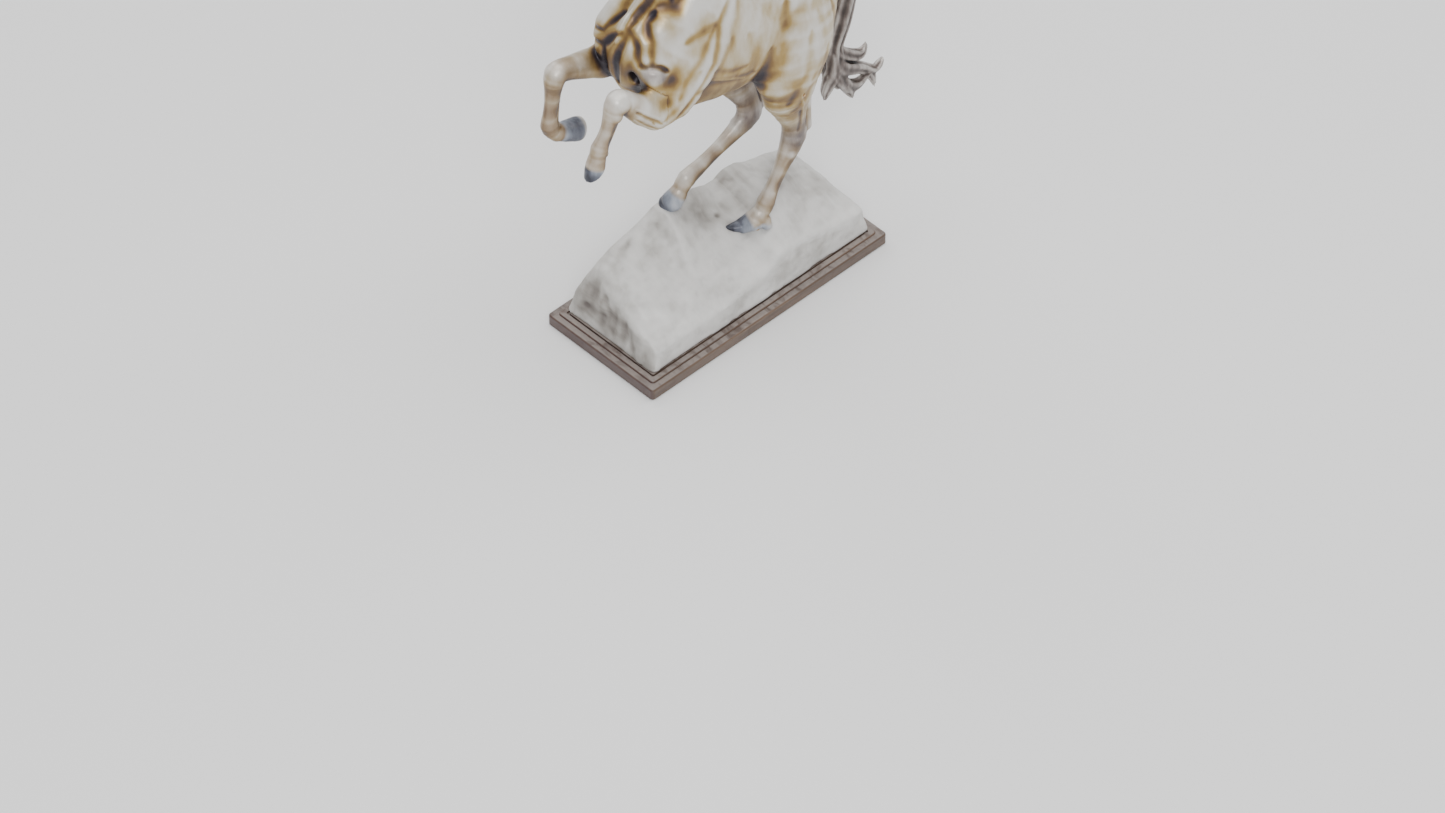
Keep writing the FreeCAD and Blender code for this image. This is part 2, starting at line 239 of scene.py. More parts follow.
TRUNK = [
    (110, 0, 262, 6, 6), (104, 0, 258, 19, 15), (90, 0, 252, 33, 27), (64, 0, 254, 48, 36),
    (37, 0, 257, 50, 38), (8, 0, 267, 56.5, 40.5), (-22, 0, 281.5, 63, 41.5), (-48, 0, 296, 61, 39.5),
    (-70, 0, 308, 46, 33), (-85, 0, 311, 33, 23), (-94, 0, 312, 18, 13),
]
NECK = [
    (-20, 0, 312, 40, 24), (-36, 0, 346, 44, 24), (-48, 0, 378, 34, 19), (-57, 0, 408, 26, 15),
    (-62, 0, 434, 20.5, 13), (-60, 0, 452, 16, 12),
]
THIGH_LEFT = [
    (66, -8, 292, 14, 9), (63, -20, 272, 27, 16), (57, -26, 252, 33, 19), (53, -28, 232, 34, 20),
    (48, -29, 212, 30, 18), (49, -27, 190, 23, 14.5),
]
THIGH_RIGHT = [
    (66, 8, 292, 14, 9), (62, 20, 273, 27, 16), (56, 27, 254, 33, 19), (48, 29, 234, 32, 19.5),
    (39, 30, 214, 28, 18), (36, 28, 192, 21, 14.5),
]
SHANK_LEFT = [
    (49, -27, 190, 23, 14.5), (54, -24, 168, 15.5, 11), (60, -20.5, 147, 10.5, 8.3),
    (62, -18.5, 128, 11.5, 8.2), (54, -18.5, 112, 8.3, 6.5), (46, -18.7, 100, 6, 5), (38, -19, 88, 6, 5),
    (32.7, -19, 78.5, 7.6, 6.8), (27, -19, 70, 6.2, 6.2), (23, -18.5, 65, 8, 7),
]
SHANK_RIGHT = [
    (36, 28, 192, 21, 14.5), (42, 24, 170, 15, 11), (50, 20.5, 150, 10.5, 8.3), (51, 19, 134, 11.5, 8.2),
    (38, 19, 126, 8.3, 6.5), (18, 19, 118.5, 6, 5), (-2, 19, 113, 6, 5), (-15, 19, 108.5, 7.6, 6.8),
    (-21, 19.5, 101, 6.2, 6.2), (-24, 20, 96, 8, 7),
]
SHOULDER_LEFT = [
    (-30, -22, 330, 16, 10), (-46, -26, 308, 24, 14), (-62, -29, 285, 23, 15), (-78, -31, 267, 17, 14),
    (-94, -31, 264, 13, 11.5),
]
SHOULDER_RIGHT = [
    (-30, 22, 332, 16, 10), (-46, 26, 312, 24, 14), (-62, 28, 294, 22, 14.5), (-78, 28, 280, 17, 13.5),
    (-94, 28, 277, 13, 11.5),
]
FORE_LEFT = [
    (-94, -31, 264, 13, 11.5), (-107, -31, 275, 12, 10.5), (-120, -30.5, 289, 9.5, 9),
    (-130, -30, 299, 8.8, 9), (-134.5, -30, 296, 8.5, 8.6), (-138, -30, 288, 6.8, 7),
    (-142, -30, 279, 5.6, 5.2), (-147, -30, 270, 5.8, 5.4), (-150.5, -30, 263.5, 7, 6.6),
    (-152.5, -30, 258, 6.3, 6.3), (-154, -30, 253, 6.6, 6.6),
]
FORE_RIGHT = [
    (-94, 28, 277, 13, 11.5), (-110, 28, 284, 11.5, 10.5), (-126, 28, 290.5, 9.5, 9),
    (-138, 28, 294, 8.8, 9), (-141.5, 28, 290, 8.4, 8.6), (-143, 28, 281, 6.8, 7),
    (-145, 28, 268, 5.6, 5.2), (-147, 28, 256, 5.6, 5.2), (-147.5, 28, 246, 7.2, 6.5),
    (-145, 28, 238, 6, 6), (-140, 28, 233.5, 6.8, 6.6),
]
# muscles and tendons: (blend, stations)
BOTH_SIDES = [
    # shoulder blade, triceps, gluteal, hamstring
    (8, [(-12, 14, 346, 13, 7), (-40, 24, 330, 23, 12), (-68, 28, 308, 23, 12), (-86, 24, 298, 14, 11)]),
    (5, [(-20, 26, 330, 11, 8), (-38, 32, 305, 17, 11), (-58, 33, 280, 15, 12), (-72, 31, 262, 11, 10)]),
    (9, [(24, 16, 302, 14, 12), (46, 22, 290, 23, 16), (70, 20, 280, 22, 15), (86, 12, 272, 14, 10)]),
    (7, [(84, 14, 270, 13, 12), (84, 22, 248, 14, 12), (75, 26, 222, 13, 11), (64, 25, 198, 8, 7)]),
]
LEFT_ONLY = [
    # pectoral and stifle
    (5, [(-70, -17, 332, 14, 12), (-84, -18, 318, 14, 13), (-89, -17, 302, 13, 12.5),
     (-85, -15, 286, 10, 10)]),
    (7, [(36, -26, 258, 18, 14), (30, -30, 236, 17, 13), (28, -30, 216, 12, 11)]),
]
RIGHT_ONLY = [
    (5, [(-76, 16, 336, 14, 13), (-92, 16, 322, 14.5, 13), (-95, 15, 304, 13, 12.5),
     (-89, 14, 287, 10, 10.5)]),
    (7, [(34, 26, 260, 18, 14), (26, 30, 240, 17, 13), (20, 30, 222, 12, 11)]),
]
TENDONS = [
    # behind both gaskins, both hind cannons and both fore cannons
    (3, [(68, -25, 176, 6, 4.5), (74, -21, 152, 3.2, 3), (75, -18.5, 132, 5, 4.6)]),
    (3, [(54, 25, 178, 6, 4.5), (62, 21, 158, 3.2, 3), (64, 19, 138, 5, 4.6)]),
    (1.5, [(59, -18.6, 108, 2.6, 2.8), (47, -18.8, 92, 2.4, 2.6), (38.5, -19, 80, 3.2, 3.4)]),
    (1.5, [(36, 19, 120, 2.6, 2.8), (12, 19, 111, 2.4, 2.6), (-10, 19, 103.5, 3.2, 3.4)]),
    (1.5, [(-132, -30, 285, 2.8, 2.8), (-138, -30, 273, 2.4, 2.6), (-146, -30, 262, 3, 3.2)]),
    (1.5, [(-137, 28, 281, 2.8, 2.8), (-140, 28, 264, 2.4, 2.6), (-142, 28, 249, 3, 3.2)]),
]


def hoof(clay, rings, sole, down):
    """Hoof capsule: oval rings from the coronet towards the toe, cut flat at the sole."""
    around = np.array(rings)
    cut = clay.window(around[:, :3].min(0) - 16, around[:, :3].max(0) + 16)
    if cut is None:
        return
    xyz = clay.points(cut)
    d = np.full(clay.d[cut].shape, FAR, f32)
    for p, q in zip(rings, rings[1:]):
        d = np.minimum(d, segment_distance(xyz, p, q))
    flat = dot(measured_from(xyz, sole), np.array(down, float) / np.linalg.norm(down))
    clay.d[cut] = melt(clay.d[cut], carve(d, -flat, 0.8), 1.0)


def masses(clay):
    """The whole horse but hair and ears, with every muscle group melted together."""
    tube(clay, TRUNK, 2)
    tube(clay, NECK, 14)
    for k, s in BOTH_SIDES:
        for side in (-1, 1):
            tube(clay, mirrored(s, side), k)
    for stations in (THIGH_LEFT, THIGH_RIGHT, SHOULDER_LEFT, SHOULDER_RIGHT):
        tube(clay, stations, 7)
    for stations in (SHANK_LEFT, SHANK_RIGHT, FORE_LEFT, FORE_RIGHT):
        tube(clay, stations, 4)
    for k, s in LEFT_ONLY + RIGHT_ONLY + TENDONS:
        tube(clay, s, k)


proxy = Clay((-170, -58, 50), (130, 58, 500), 2.5)
masses(proxy)


def snapped(path):
    """Path points moved on to the horse's skin."""
    where = np.array(path, float)
    for _ in range(3):
        d = proxy.sample(proxy.d, where)
        slope = np.stack([proxy.sample(proxy.d, where + e) - proxy.sample(proxy.d, where - e)
                          for e in np.eye(3) * 1.5], 1)
        slope /= np.maximum(np.linalg.norm(slope, axis=1, keepdims=True), TINY)
        where = where - slope * d[:, None]
    return where


# creases and ridges: (width, depth, path); a negative depth stands proud
LEFT_CREASES = [
    # chest: the grooves round the three pectoral bulges, then the shelf below them
    (3.8, 3.4, [(-98, -7, 333), (-98, -11, 328), (-98, -16, 322), (-100, -19, 315), (-101, -22, 309)]),
    (4.4, 3.2, [(-80, -15, 346), (-88, -14, 340), (-90, -18, 333), (-91, -23, 327), (-93, -25, 319),
     (-95, -28, 310)]),
    (3.0, 2.8, [(-101, -20, 308), (-96, -26, 309), (-90, -32, 308), (-86, -36, 304)]),
    (2.6, 2.6, [(-96, -5, 335), (-92, -8, 340), (-86, -9, 346), (-78, -12, 356)]),
    # back of the shoulder and of the triceps
    (4.6, 2.0, [(-14, -30, 342), (-20, -34, 333), (-29, -36, 326), (-36, -38, 321), (-42, -43, 302),
     (-46, -44, 291), (-58, -44, 279), (-71, -43, 268), (-82, -42, 260)]),
    (4.4, 1.2, [(-42, -38, 319), (-50, -42, 312), (-57, -43, 302), (-66, -43, 294), (-73, -42, 286),
     (-80, -42, 275)]),
    (4.6, 0.9, [(-38, -38, 321), (-48, -38, 323), (-58, -39, 324), (-69, -37, 322)]),
    (4.2, 0.8, [(-60, -44, 292), (-70, -44, 280), (-84, -43, 268), (-96, -42, 264)]),
    # flank fold, thigh and gaskin
    (8.0, 1.6, [(38, -33, 294), (35, -36, 272), (32, -38, 264), (30, -40, 254), (24, -40, 241),
     (19, -37, 232), (17, -33, 224), (16, -29, 213)]),
    (6.0, 0.8, [(18, -38, 262), (16, -38, 248), (13, -36, 239), (10, -30, 226)]),
    (5.6, 0.8, [(56, -45, 258), (52, -47, 244), (49, -48, 223), (41, -46, 212), (35, -40, 193)]),
    (5.0, 0.7, [(74, -44, 233), (69, -44, 216), (59, -44, 205), (50, -43, 193), (40, -39, 180)]),
    (5.0, 0.35, [(66, -36, 268), (70, -44, 244), (66, -45, 226), (54, -45, 210)]),
    # belly line and the vein on it
    (4.5, 0.9, [(-64, -44, 272), (-40, -42, 262), (-18, -40, 252), (2, -38, 246)]),
    (3.0, 0.7, [(-44, -44, 280), (-32, -42, 270), (-20, -41, 264), (-8, -41, 262)]),
    # forearm, hock and cannon
    (2.2, 1.2, [(-98, -42, 262), (-110, -41, 274), (-121, -39, 287)]),
    (2.0, 1.0, [(-96, -38, 254), (-108, -38, 263), (-120, -37, 278)]),
    (2.2, 1.8, [(62, -31, 172), (68, -26, 156), (69, -24, 138)]),
    (2.2, 1.6, [(62, -16, 172), (68, -16, 156), (69, -14, 138)]),
    (2.0, 1.0, [(50, -37, 176), (56, -31, 158), (58, -27, 142)]),
    (1.8, 0.9, [(56, -25, 106), (46, -24, 92), (38, -24.5, 82)]),
    (1.8, 0.8, [(-137, -35.5, 284), (-142, -35.5, 274), (-146, -35, 266)]),
    (0.9, 1.2, [(-107, -42, 268), (-105, -42.5, 263)]),
]
RIGHT_CREASES = [
    (4.6, 2.0, [(-14, 30, 342), (-30, 37, 330), (-40, 39, 320), (-46, 42, 306), (-54, 44, 294),
     (-66, 44, 284), (-80, 42, 276)]),
    (4.4, 1.2, [(-54, 38, 322), (-62, 41, 310), (-72, 41, 298), (-84, 40, 286)]),
    (6.5, 2.2, [(36, 34, 296), (32, 40, 275), (26, 42, 260), (18, 40, 246), (10, 34, 234)]),
    (4.8, 1.2, [(60, 34, 284), (56, 44, 262), (55, 47, 240), (52, 46, 220), (46, 44, 206), (34, 42, 196),
     (24, 38, 186)]),
    (3.0, 1.5, [(40, 46, 212), (30, 44, 202), (24, 39, 192)]),
    (5.0, 1.0, [(-40, 39, 270), (-20, 38, 257), (-3, 38, 250), (8, 38, 254)]),
    (2.8, 2.4, [(-90, 3, 340), (-96, 7, 335), (-102, 12, 330), (-106, 14, 326), (-103, 24, 320)]),
    (3.2, 3.2, [(-100, -3, 331), (-103, 3, 324), (-106, 9, 317), (-107, 13, 314), (-103, 24, 308)]),
    (3.0, 2.4, [(-107, 11, 315), (-107, 11, 305), (-101, 14, 285)]),
    (4.0, 2.6, [(-84, 20, 338), (-92, 27, 326), (-93, 32, 314), (-88, 36, 304)]),
    (2.2, 1.8, [(52, 31, 174), (58, 26, 160), (60, 24, 144)]),
    (2.2, 1.6, [(52, 16, 174), (58, 16, 160), (60, 14, 144)]),
    (1.8, 0.9, [(36, 25, 120), (14, 24.5, 113), (-4, 24.5, 108)]),
    (2.2, 1.2, [(-100, 39, 275), (-112, 38, 282), (-124, 37, 288)]),
]
MIDDLE_CREASES = [
    (3.6, 5.4, [(-79, -7, 352), (-85, -6, 345), (-91, -5, 340), (-96, -5, 334), (-100, -6, 331),
     (-103, -6, 325), (-106, -4, 316), (-105, -1, 303), (-103, 0, 292), (-97, 3, 276)]),
    (1.9, -1.8, [(-80, -1, 353), (-87, 0, 345), (-94, 0.5, 337), (-100, 0, 329), (-104, 0, 320)]),
    (6.0, 1.6, [(-30, 0, 350), (0, 0, 330), (30, 0, 312), (60, 0, 304), (84, 0, 290)]),
    (5.0, 2.0, [(92, 0, 240), (94, 0, 222), (84, 0, 206)]),
]
FOR_BOTH = [
    # ribs, jugular furrow, neck muscles, buttock
    (6.0, 0.5, [(-24, 40, 300), (-20, 42, 278), (-18, 38, 258)]),
    (6.0, 0.5, [(-6, 40, 292), (0, 42, 272), (0, 38, 250)]),
    (5.4, 1.9, [(-84, 11, 352), (-81, 13, 372), (-80, 13, 395), (-81, 11, 420)]),
    (6.0, 1.1, [(-66, 21, 352), (-62, 19, 380), (-62, 15, 410), (-62, 12, 432)]),
    (6.5, 1.1, [(-30, 24, 352), (-38, 20, 380), (-46, 15, 410), (-50, 12, 436)]),
    (5.0, 1.1, [(84, 26, 262), (86, 28, 244), (82, 30, 224), (72, 32, 206)]),
]


def joints_and_veins(clay):
    """Knee and hock bones, fetlock tufts and the fine raised veins."""
    for x, y, z, r in ((-132, -37, 298, 3.2), (-137, -36, 290, 2.6), (-130, -23, 298, 3.2),
                       (-139, 35, 292, 3.2), (-142, 34, 284, 2.6), (60, -25, 130, 2.2),
                       (54, -24.5, 117, 2.0), (50, 25, 136, 2.2), (40, 24.5, 128, 2.0)):
        ball(clay, (x, y, z), (r * 1.3, r, r * 1.3), 3.0)
    for side, x, z in ((-1, 34, 72.5), (1, -12, 101.5)):
        ball(clay, (x, side * 19.5, z), (2.8, 3, 3.8), 3.5)
    for x, y, z in ((-146, -30, 256), (-141.5, 28, 243)):
        ball(clay, (x, y, z), (3.4, 3.4, 3.8), 2.5)
    veins = [[(-100, -41, 268), (-112, -40, 280), (-122, -38, 291)],
             [(-8, -40, 246), (-24, -40, 256), (-44, -42, 268)],
             [(46, -43, 200), (50, -40, 184), (55, -34, 168), (60, -28, 150)],
             [(40, -25, 96), (47, -25, 108), (55, -26, 120)],
             [(-8, 40, 250), (-24, 40, 258), (-44, 42, 272)]]
    for vein in veins:
        stroke(clay, snapped(vein), 1.3, -0.7)


HEAD_ROOT = np.array([-50.0, 0.0, 460.0])
HEAD_ALONG = np.array([-0.8585, 0.0, -0.5128])
HEAD_UP = np.array([-0.5128, 0.0, 0.8585])
HEAD_TILT = 30.9


def on_head(along, across, up, *sizes):
    p = HEAD_ROOT + HEAD_ALONG * along + HEAD_UP * up
    return (float(p[0]), across, float(p[2]), *sizes)


def head_path(side, points):
    return [on_head(along, side * across, *rest) for along, across, *rest in points]


def head_masses(clay):
    """Skull, jaw, cheek ridge and brow."""
    tube(clay, head_path(1, [(-4, 0, -2, 12, 10), (12, 0, 0, 15, 12), (30, 0, 1, 14.5, 12),
                             (48, 0, 3, 11.5, 9.5), (70, 0, 3.5, 9.3, 7.6), (88, 0, 2.5, 8.2, 7.2),
                             (100, 0, 0.5, 8.4, 8.2), (106, 0, -1.5, 5.5, 6.5)]), 6)
    for s in (-1, 1):
        ball(clay, on_head(25, s * 5, -9), (18, 8.5, 15.5), 5, tilt=HEAD_TILT)
        tube(clay, head_path(s, [(30, 5.5, -15, 6, 4.5), (52, 4, -10.5, 4.5, 3.5), (76, 2.5, -7.5, 4, 3),
                                 (94, 0, -8.5, 4.6, 4.6)]), 3)
        tube(clay, head_path(s, [(35, 11.2, 1.5, 2.6, 2.2), (52, 9, 0, 2, 1.8),
                                 (66, 7.6, -0.5, 1.2, 1)]), 2.5)
        ball(clay, on_head(27, s * 10, 8.5), (7.5, 4, 4.5), 3, tilt=HEAD_TILT)


# each side of the head: tubes (blend, path) and strokes (width, depth, path), in the head's own axes
EYELIDS = [
    (1.0, [(24.2, 12.9, 6.2, 1, 1), (28.5, 13.7, 9.4, 1.4, 1.4), (34.4, 12.3, 6.8, 0.9, 0.9)]),
    (1.0, [(24.6, 12.8, 5.4, 0.8, 0.8), (29.5, 13.3, 2.7, 1, 1), (34.2, 12.2, 5.0, 0.7, 0.7)]),
]
NOSTRIL_RIM = [(94, 7.8, 2.4, 1.1, 1.1), (98, 8.3, 5, 1.5, 1.4), (103, 7.2, 3.4, 1.3, 1.2),
               (103.4, 7.4, -0.2, 1, 1)]
HEAD_STROKES = [
    # corner of the mouth, hollow over the eye, cheek, edge of the jaw, facial vein
    (1.4, 2.4, [(107, 4.5, -6.4), (103, 7, -6.6), (96, 7.8, -6.8), (87, 7.2, -5.8)]),
    (3.2, 1.6, [(12, 11.5, 9), (20, 11.5, 11)]),
    (2.6, 1.4, [(45, 10, -4.5), (60, 8, -4), (80, 7, -3)]),
    (2.4, 1.4, [(10, 11, -14), (12, 12.5, -4), (16, 12.5, 4)]),
    (1.1, -0.6, [(48, 9, -6), (58, 8, 0), (70, 7, 4)]),
]


def head_features(clay):
    """Muzzle, lips, eyes, nostrils and the fine lines of the face."""
    ball(clay, on_head(103, 0, -3), (6, 7.5, 6), 3, tilt=HEAD_TILT)
    ball(clay, on_head(97, 0, -10), (6, 5.2, 4.6), 2.5, tilt=HEAD_TILT)
    stroke(clay, [on_head(110, 0, -6.3), on_head(104, 0, -6.6)], 1.6, 2.5)
    for s in (-1, 1):
        ball(clay, on_head(29.5, s * 13.6, 6.0), (5, 3.2, 3.6), 1.5, dig=True, tilt=HEAD_TILT)
        ball(clay, on_head(29.5, s * 11.2, 6.0), (4.0, 3.4, 3.4), 0.4)
        for k, path in EYELIDS:
            tube(clay, head_path(s, path), k)
        ball(clay, on_head(98.5, s * 8.6, 1.6), (4.8, 3.2, 2.6), 1.6, dig=True, tilt=HEAD_TILT + 20)
        tube(clay, head_path(s, NOSTRIL_RIM), 1.4)
        for width, depth, path in HEAD_STROKES:
            stroke(clay, head_path(s, path), width, depth)


def detail(clay):
    """Swellings and the deep fold between chest and near foreleg, then every crease and vein."""
    ball(clay, (-90, -29, 283), (14, 9, 11), 7)
    ball(clay, (-91, -27, 299), (9, 7.5, 8), 7)
    ball(clay, (-100, -15.5, 294), (5.5, 4.2, 7.5), 2.0, dig=True)
    for width, depth, path in LEFT_CREASES + RIGHT_CREASES + MIDDLE_CREASES:
        stroke(clay, snapped(path), width, depth)
    for width, depth, path in FOR_BOTH:
        for side in (-1, 1):
            stroke(clay, snapped([(x, y * side, z) for x, y, z in path]), width, depth)
    joints_and_veins(clay)
    head_features(clay)


# rings of each hoof, a point of its sole and the way the sole faces
HOOVES = [
    ([(25, -18.5, 70, 6.2, 6.6), (20.5, -16, 64, 7, 8), (14, -12.3, 60.8, 5.2, 6.6), (8, -9, 61, 3.2, 4.4),
      (3, -6.2, 61.8, 1.4, 1.9)], (18, -16, 56), (0.05, -0.05, -1)),
    ([(25, -18.5, 70, 6.2, 6.6), (28, -20.5, 63, 6, 7), (29.5, -21.5, 59, 4.6, 6.4)], (28, -20, 56),
     (0, 0, -1)),
    ([(-23.5, 19.5, 98.5, 7, 7), (-27, 22, 91, 8.2, 8.6), (-30.5, 25.5, 86.5, 5.5, 7.5)],
     (-28, 21, 81), (0, 0, -1)),
    ([(-153.5, -30, 254, 6.9, 6.9), (-154.8, -30, 249.5, 7.7, 7.4), (-155.8, -30, 245, 7.9, 7.4),
      (-157, -30, 239, 7.4, 7)], (-155, -30, 243.5), (0.5, 0, -0.87)),
    ([(-140, 28, 233, 6.6, 6.6), (-131, 28, 229, 8.4, 8), (-122, 28, 225, 9.8, 8.8),
      (-114, 28, 221, 10, 9)], (-118, 28, 222.5), (0.9, 0, -0.42)),
]


def horse(clay):
    masses(clay)
    head_masses(clay)
    detail(clay)
    for spec in HOOVES:
        hoof(clay, *spec)


# ---------------------------------------------------------------- castings
def plane(clay, centre, axis):
    """Distance below a plane: negative on the side its axis points to."""
    n = np.array(axis, float) / np.linalg.norm(axis)
    return f32(np.dot(n, centre)) - dot(clay.everywhere(), n)


def near(clay, stations, margin):
    """Distance to the zone within a margin of a limb."""
    zone = clay.empty()
    tube(zone, [(*s[:3], s[3] + margin, s[4] + margin) for s in stations], 0)
    return zone.d


TONGUE_LONG = 1.4
TONGUE_UNDER = 0.25
TONGUE_SLOPE = 0.6


def tongued(whole, zone):
    """The part of the horse inside a zone, with a thin tongue tucked under its neighbour's skin."""
    tucked = whole + f32(TONGUE_UNDER) * np.clip(zone / f32(TONGUE_SLOPE), 0, 1)
    return np.maximum(tucked, zone - f32(TONGUE_LONG))


# of each limb: stations, the one before its cut, its box, its voxel and the margin of its zone
LIMBS = {
    "hind_leg_left": (SHANK_LEFT, THIGH_LEFT[-2], ((2, -52, 46), (88, -2, 200)), 0.8, 12),
    "hind_leg_right": (SHANK_RIGHT, THIGH_RIGHT[-2], ((-52, 2, 78), (80, 52, 202)), 0.8, 12),
    "foreleg_left": (FORE_LEFT, SHOULDER_LEFT[-2], ((-174, -50, 226), (-88, -12, 316)), 0.7, 6),
    "foreleg_right": (FORE_RIGHT, SHOULDER_RIGHT[-2], ((-164, 10, 208), (-88, 48, 312)), 0.7, 6),
}
NECK_SEAM = ((-50, 0, 353.5), (0.2, 0, 1.0))
HEAD_SEAM = (on_head(9, 0, 0), (-0.8585, 0, -0.5128))
HEAD_LINE = head_path(1, [(-14, 0, 0, 18, 18), (20, 0, -3, 22, 18), (60, 0, 0, 17, 15),
                          (112, 0, -2, 17, 15)])
HOOF_END = {"hind_leg_left": (17, -14, 50, 20, 16), "hind_leg_right": (-32, 22, 80, 20, 16),
            "foreleg_left": (-160, -30, 236, 16, 14), "foreleg_right": (-124, 28, 226, 16, 14)}


def limb_zone(clay, name):
    """Everything of the horse that is cast with one limb."""
    stations, before, _, _, margin = LIMBS[name]
    along = np.array(stations[1][:3], float) - np.array(before[:3], float)
    return np.maximum(near(clay, [*stations, HOOF_END[name]], margin), plane(clay, stations[0][:3], along))


def blurred(inside, radius):
    """Box average over a cube, run twice."""
    n = max(1, int(round(radius)))
    out = inside
    for _ in range(2):
        for axis in range(3):
            wide = np.pad(out, [(n + 1, n) if a == axis else (0, 0) for a in range(3)], mode="edge")
            total = np.cumsum(wide, axis=axis, dtype=np.float32)
            take = [slice(None)] * 3
            take[axis] = slice(2 * n + 1, None)
            drop = [slice(None)] * 3
            drop[axis] = slice(0, -(2 * n + 1))
            out = (total[tuple(take)] - total[tuple(drop)]) / f32(2 * n + 1)
    return out


def meshed(clay, name, shade_from):
    """Closed mesh of a casting, with how deep each point lies in its hollows as attributes."""
    grid = openvdb.FloatGrid(FAR)
    grid.copyFromArray(np.pad(clay.d, 1, constant_values=FAR))
    points, quads = grid.convertToQuads(isovalue=0.0)
    points = (points.astype(np.float64) - 1) * clay.step + clay.low
    mesh = bpy.data.meshes.new(name)
    mesh.vertices.add(len(points))
    mesh.vertices.foreach_set("co", (points * MM).ravel())
    mesh.loops.add(len(quads) * 4)
    mesh.loops.foreach_set("vertex_index", quads[:, ::-1].astype(np.int32).ravel())
    mesh.polygons.add(len(quads))
    mesh.polygons.foreach_set("loop_start", np.arange(len(quads), dtype=np.int32) * 4)
    mesh.update(calc_edges=True)
    mesh.validate()
    mesh.shade_smooth()
    solid = np.clip(0.5 - shade_from / clay.step, 0, 1).astype(f32)
    for label, radius in (("crease", 1.7), ("hollow", 4.5), ("broad", 10.0)):
        depth = clay.sample(blurred(solid, radius / clay.step), points) - 0.5
        layer = mesh.attributes.new(label, "FLOAT", "POINT")
        layer.data.foreach_set("value", depth.astype(np.float32))
    thing = bpy.data.objects.new(name, mesh)
    bpy.context.scene.collection.objects.link(thing)
    return thing, points


def zones(thing, points, label, spots):
    """Colour painted by place, for patina and painted shade alike: the strongest of several soft round
    spots.
    """
    value = np.zeros(len(points))
    for x, y, z, r, strength in spots:
        gap = np.linalg.norm(points - np.array([x, y, z]), axis=1) / r
        value = np.maximum(value, strength * np.exp(-gap ** 2))
    layer = thing.data.attributes.new(label, "FLOAT", "POINT")
    layer.data.foreach_set("value", value.astype(np.float32))


# colour by place: (x, y, z, radius, strength)
# golden patina on the chest, belly, flanks and thighs, partly painted shade on the shaded sides of the
# bulges and on the undersides
GOLD = [
    (-104, 14, 320, 30, 1.0), (-103, -4, 304, 22, 1.0), (-98, -14, 340, 24, 0.9), (-94, -26, 326, 14, 0.7),
    (-76, -20, 344, 16, 1.0), (-84, -37, 296, 12, 0.9), (-84, -38, 256, 20, 0.9), (-66, -40, 262, 16, 0.5),
    (-52, -38, 322, 14, 0.6), (-40, -42, 256, 22, 0.6), (-10, -40, 250, 22, 0.6), (15, -37, 232, 20, 0.7),
    (22, -30, 206, 20, 0.9), (32, -44, 200, 17, 1.0), (44, -44, 184, 14, 0.8), (88, -20, 236, 24, 0.8),
    (74, -42, 214, 16, 0.8), (-30, 0, 226, 30, 0.7), (-84, 38, 268, 20, 0.9), (-50, 40, 262, 22, 0.6),
    (-10, 40, 254, 22, 0.6), (22, 40, 212, 24, 0.9), (34, 40, 188, 16, 0.8), (88, 20, 236, 24, 0.8),
    (-80, 0, 362, 22, 0.6), (-56, -20, 440, 12, 0.5), (-56, 20, 440, 12, 0.5),
]
LEG = [
    (-110, -30, 276, 14, 0.5), (-122, -30, 290, 14, 0.7), (-134, -30, 296, 14, 0.9),
    (-140, -30, 282, 13, 1), (-147, -30, 268, 14, 1), (-153, -30, 254, 14, 1), (-118, 28, 287, 16, 0.8),
    (-134, 28, 293, 16, 1), (-144, 28, 280, 14, 1), (-147, 28, 262, 14, 1), (-148, 28, 246, 14, 1),
    (-136, 28, 232, 14, 1), (58, -25, 168, 18, 0.5), (60, -20, 146, 18, 0.9), (60, -19, 126, 16, 1),
    (52, -19, 110, 14, 1), (42, -19, 94, 14, 1), (34, -19, 80, 14, 1), (25, -18, 66, 14, 1),
    (44, 25, 172, 18, 0.9), (50, 21, 152, 18, 1), (46, 19, 132, 17, 1), (28, 19, 122, 15, 1),
    (10, 19, 116, 15, 1), (-8, 19, 110, 15, 1), (-22, 20, 100, 14, 1),
]
# grey-brown by place: painted shade in the fold between chest and near foreleg, on the far hind leg and
# under the near hind hoof, with darker hocks, knees and fetlocks
DARK = [
    (-100, -17, 296, 8, 1.1), (-100, -22, 288, 5, 0.8), (-97, -30, 304, 8, 0.95), (-92, -35, 301, 7, 0.85),
    (61, -20, 134, 14, 0.95), (58, -22, 152, 11, 0.75), (52, 20, 136, 18, 0.95), (44, 24, 160, 16, 1.0),
    (40, 18, 184, 20, 1.0), (37, -20, 70, 5, 0.9), (58, -20, 118, 9, 0.55), (34, -19, 79, 6, 0.45),
    (-14, 19, 108, 6, 0.4), (-150, -30, 262, 6, 0.4), (-147, 28, 246, 6, 0.4), (-136, -30, 292, 6, 0.4),
    (-141, 28, 286, 7, 0.4), (14, -20, 52, 6, 0.3),
]
# painted shade on the front walls and toes of the hooves
TOE_SHADE = [
    (4, -7, 60, 11, 1.0), (13, -8, 64, 6, 0.8), (-33, 27, 88, 7, 0.7), (-159, -32, 242, 7, 1.1),
    (-160, -28, 250, 5, 0.8), (-153, -23, 248, 5, 0.5), (-124, 24, 228, 14, 0.9), (-118, 28, 216, 8, 0.9),
]
HOOF_AT = [
    (12, -12, 58, 14, 1.3), (24, -19, 56, 12, 1.3), (-32, 22, 88, 15, 1.3), (-158, -30, 241, 11, 1.3),
    (-128, 28, 227, 13, 1.4),
]


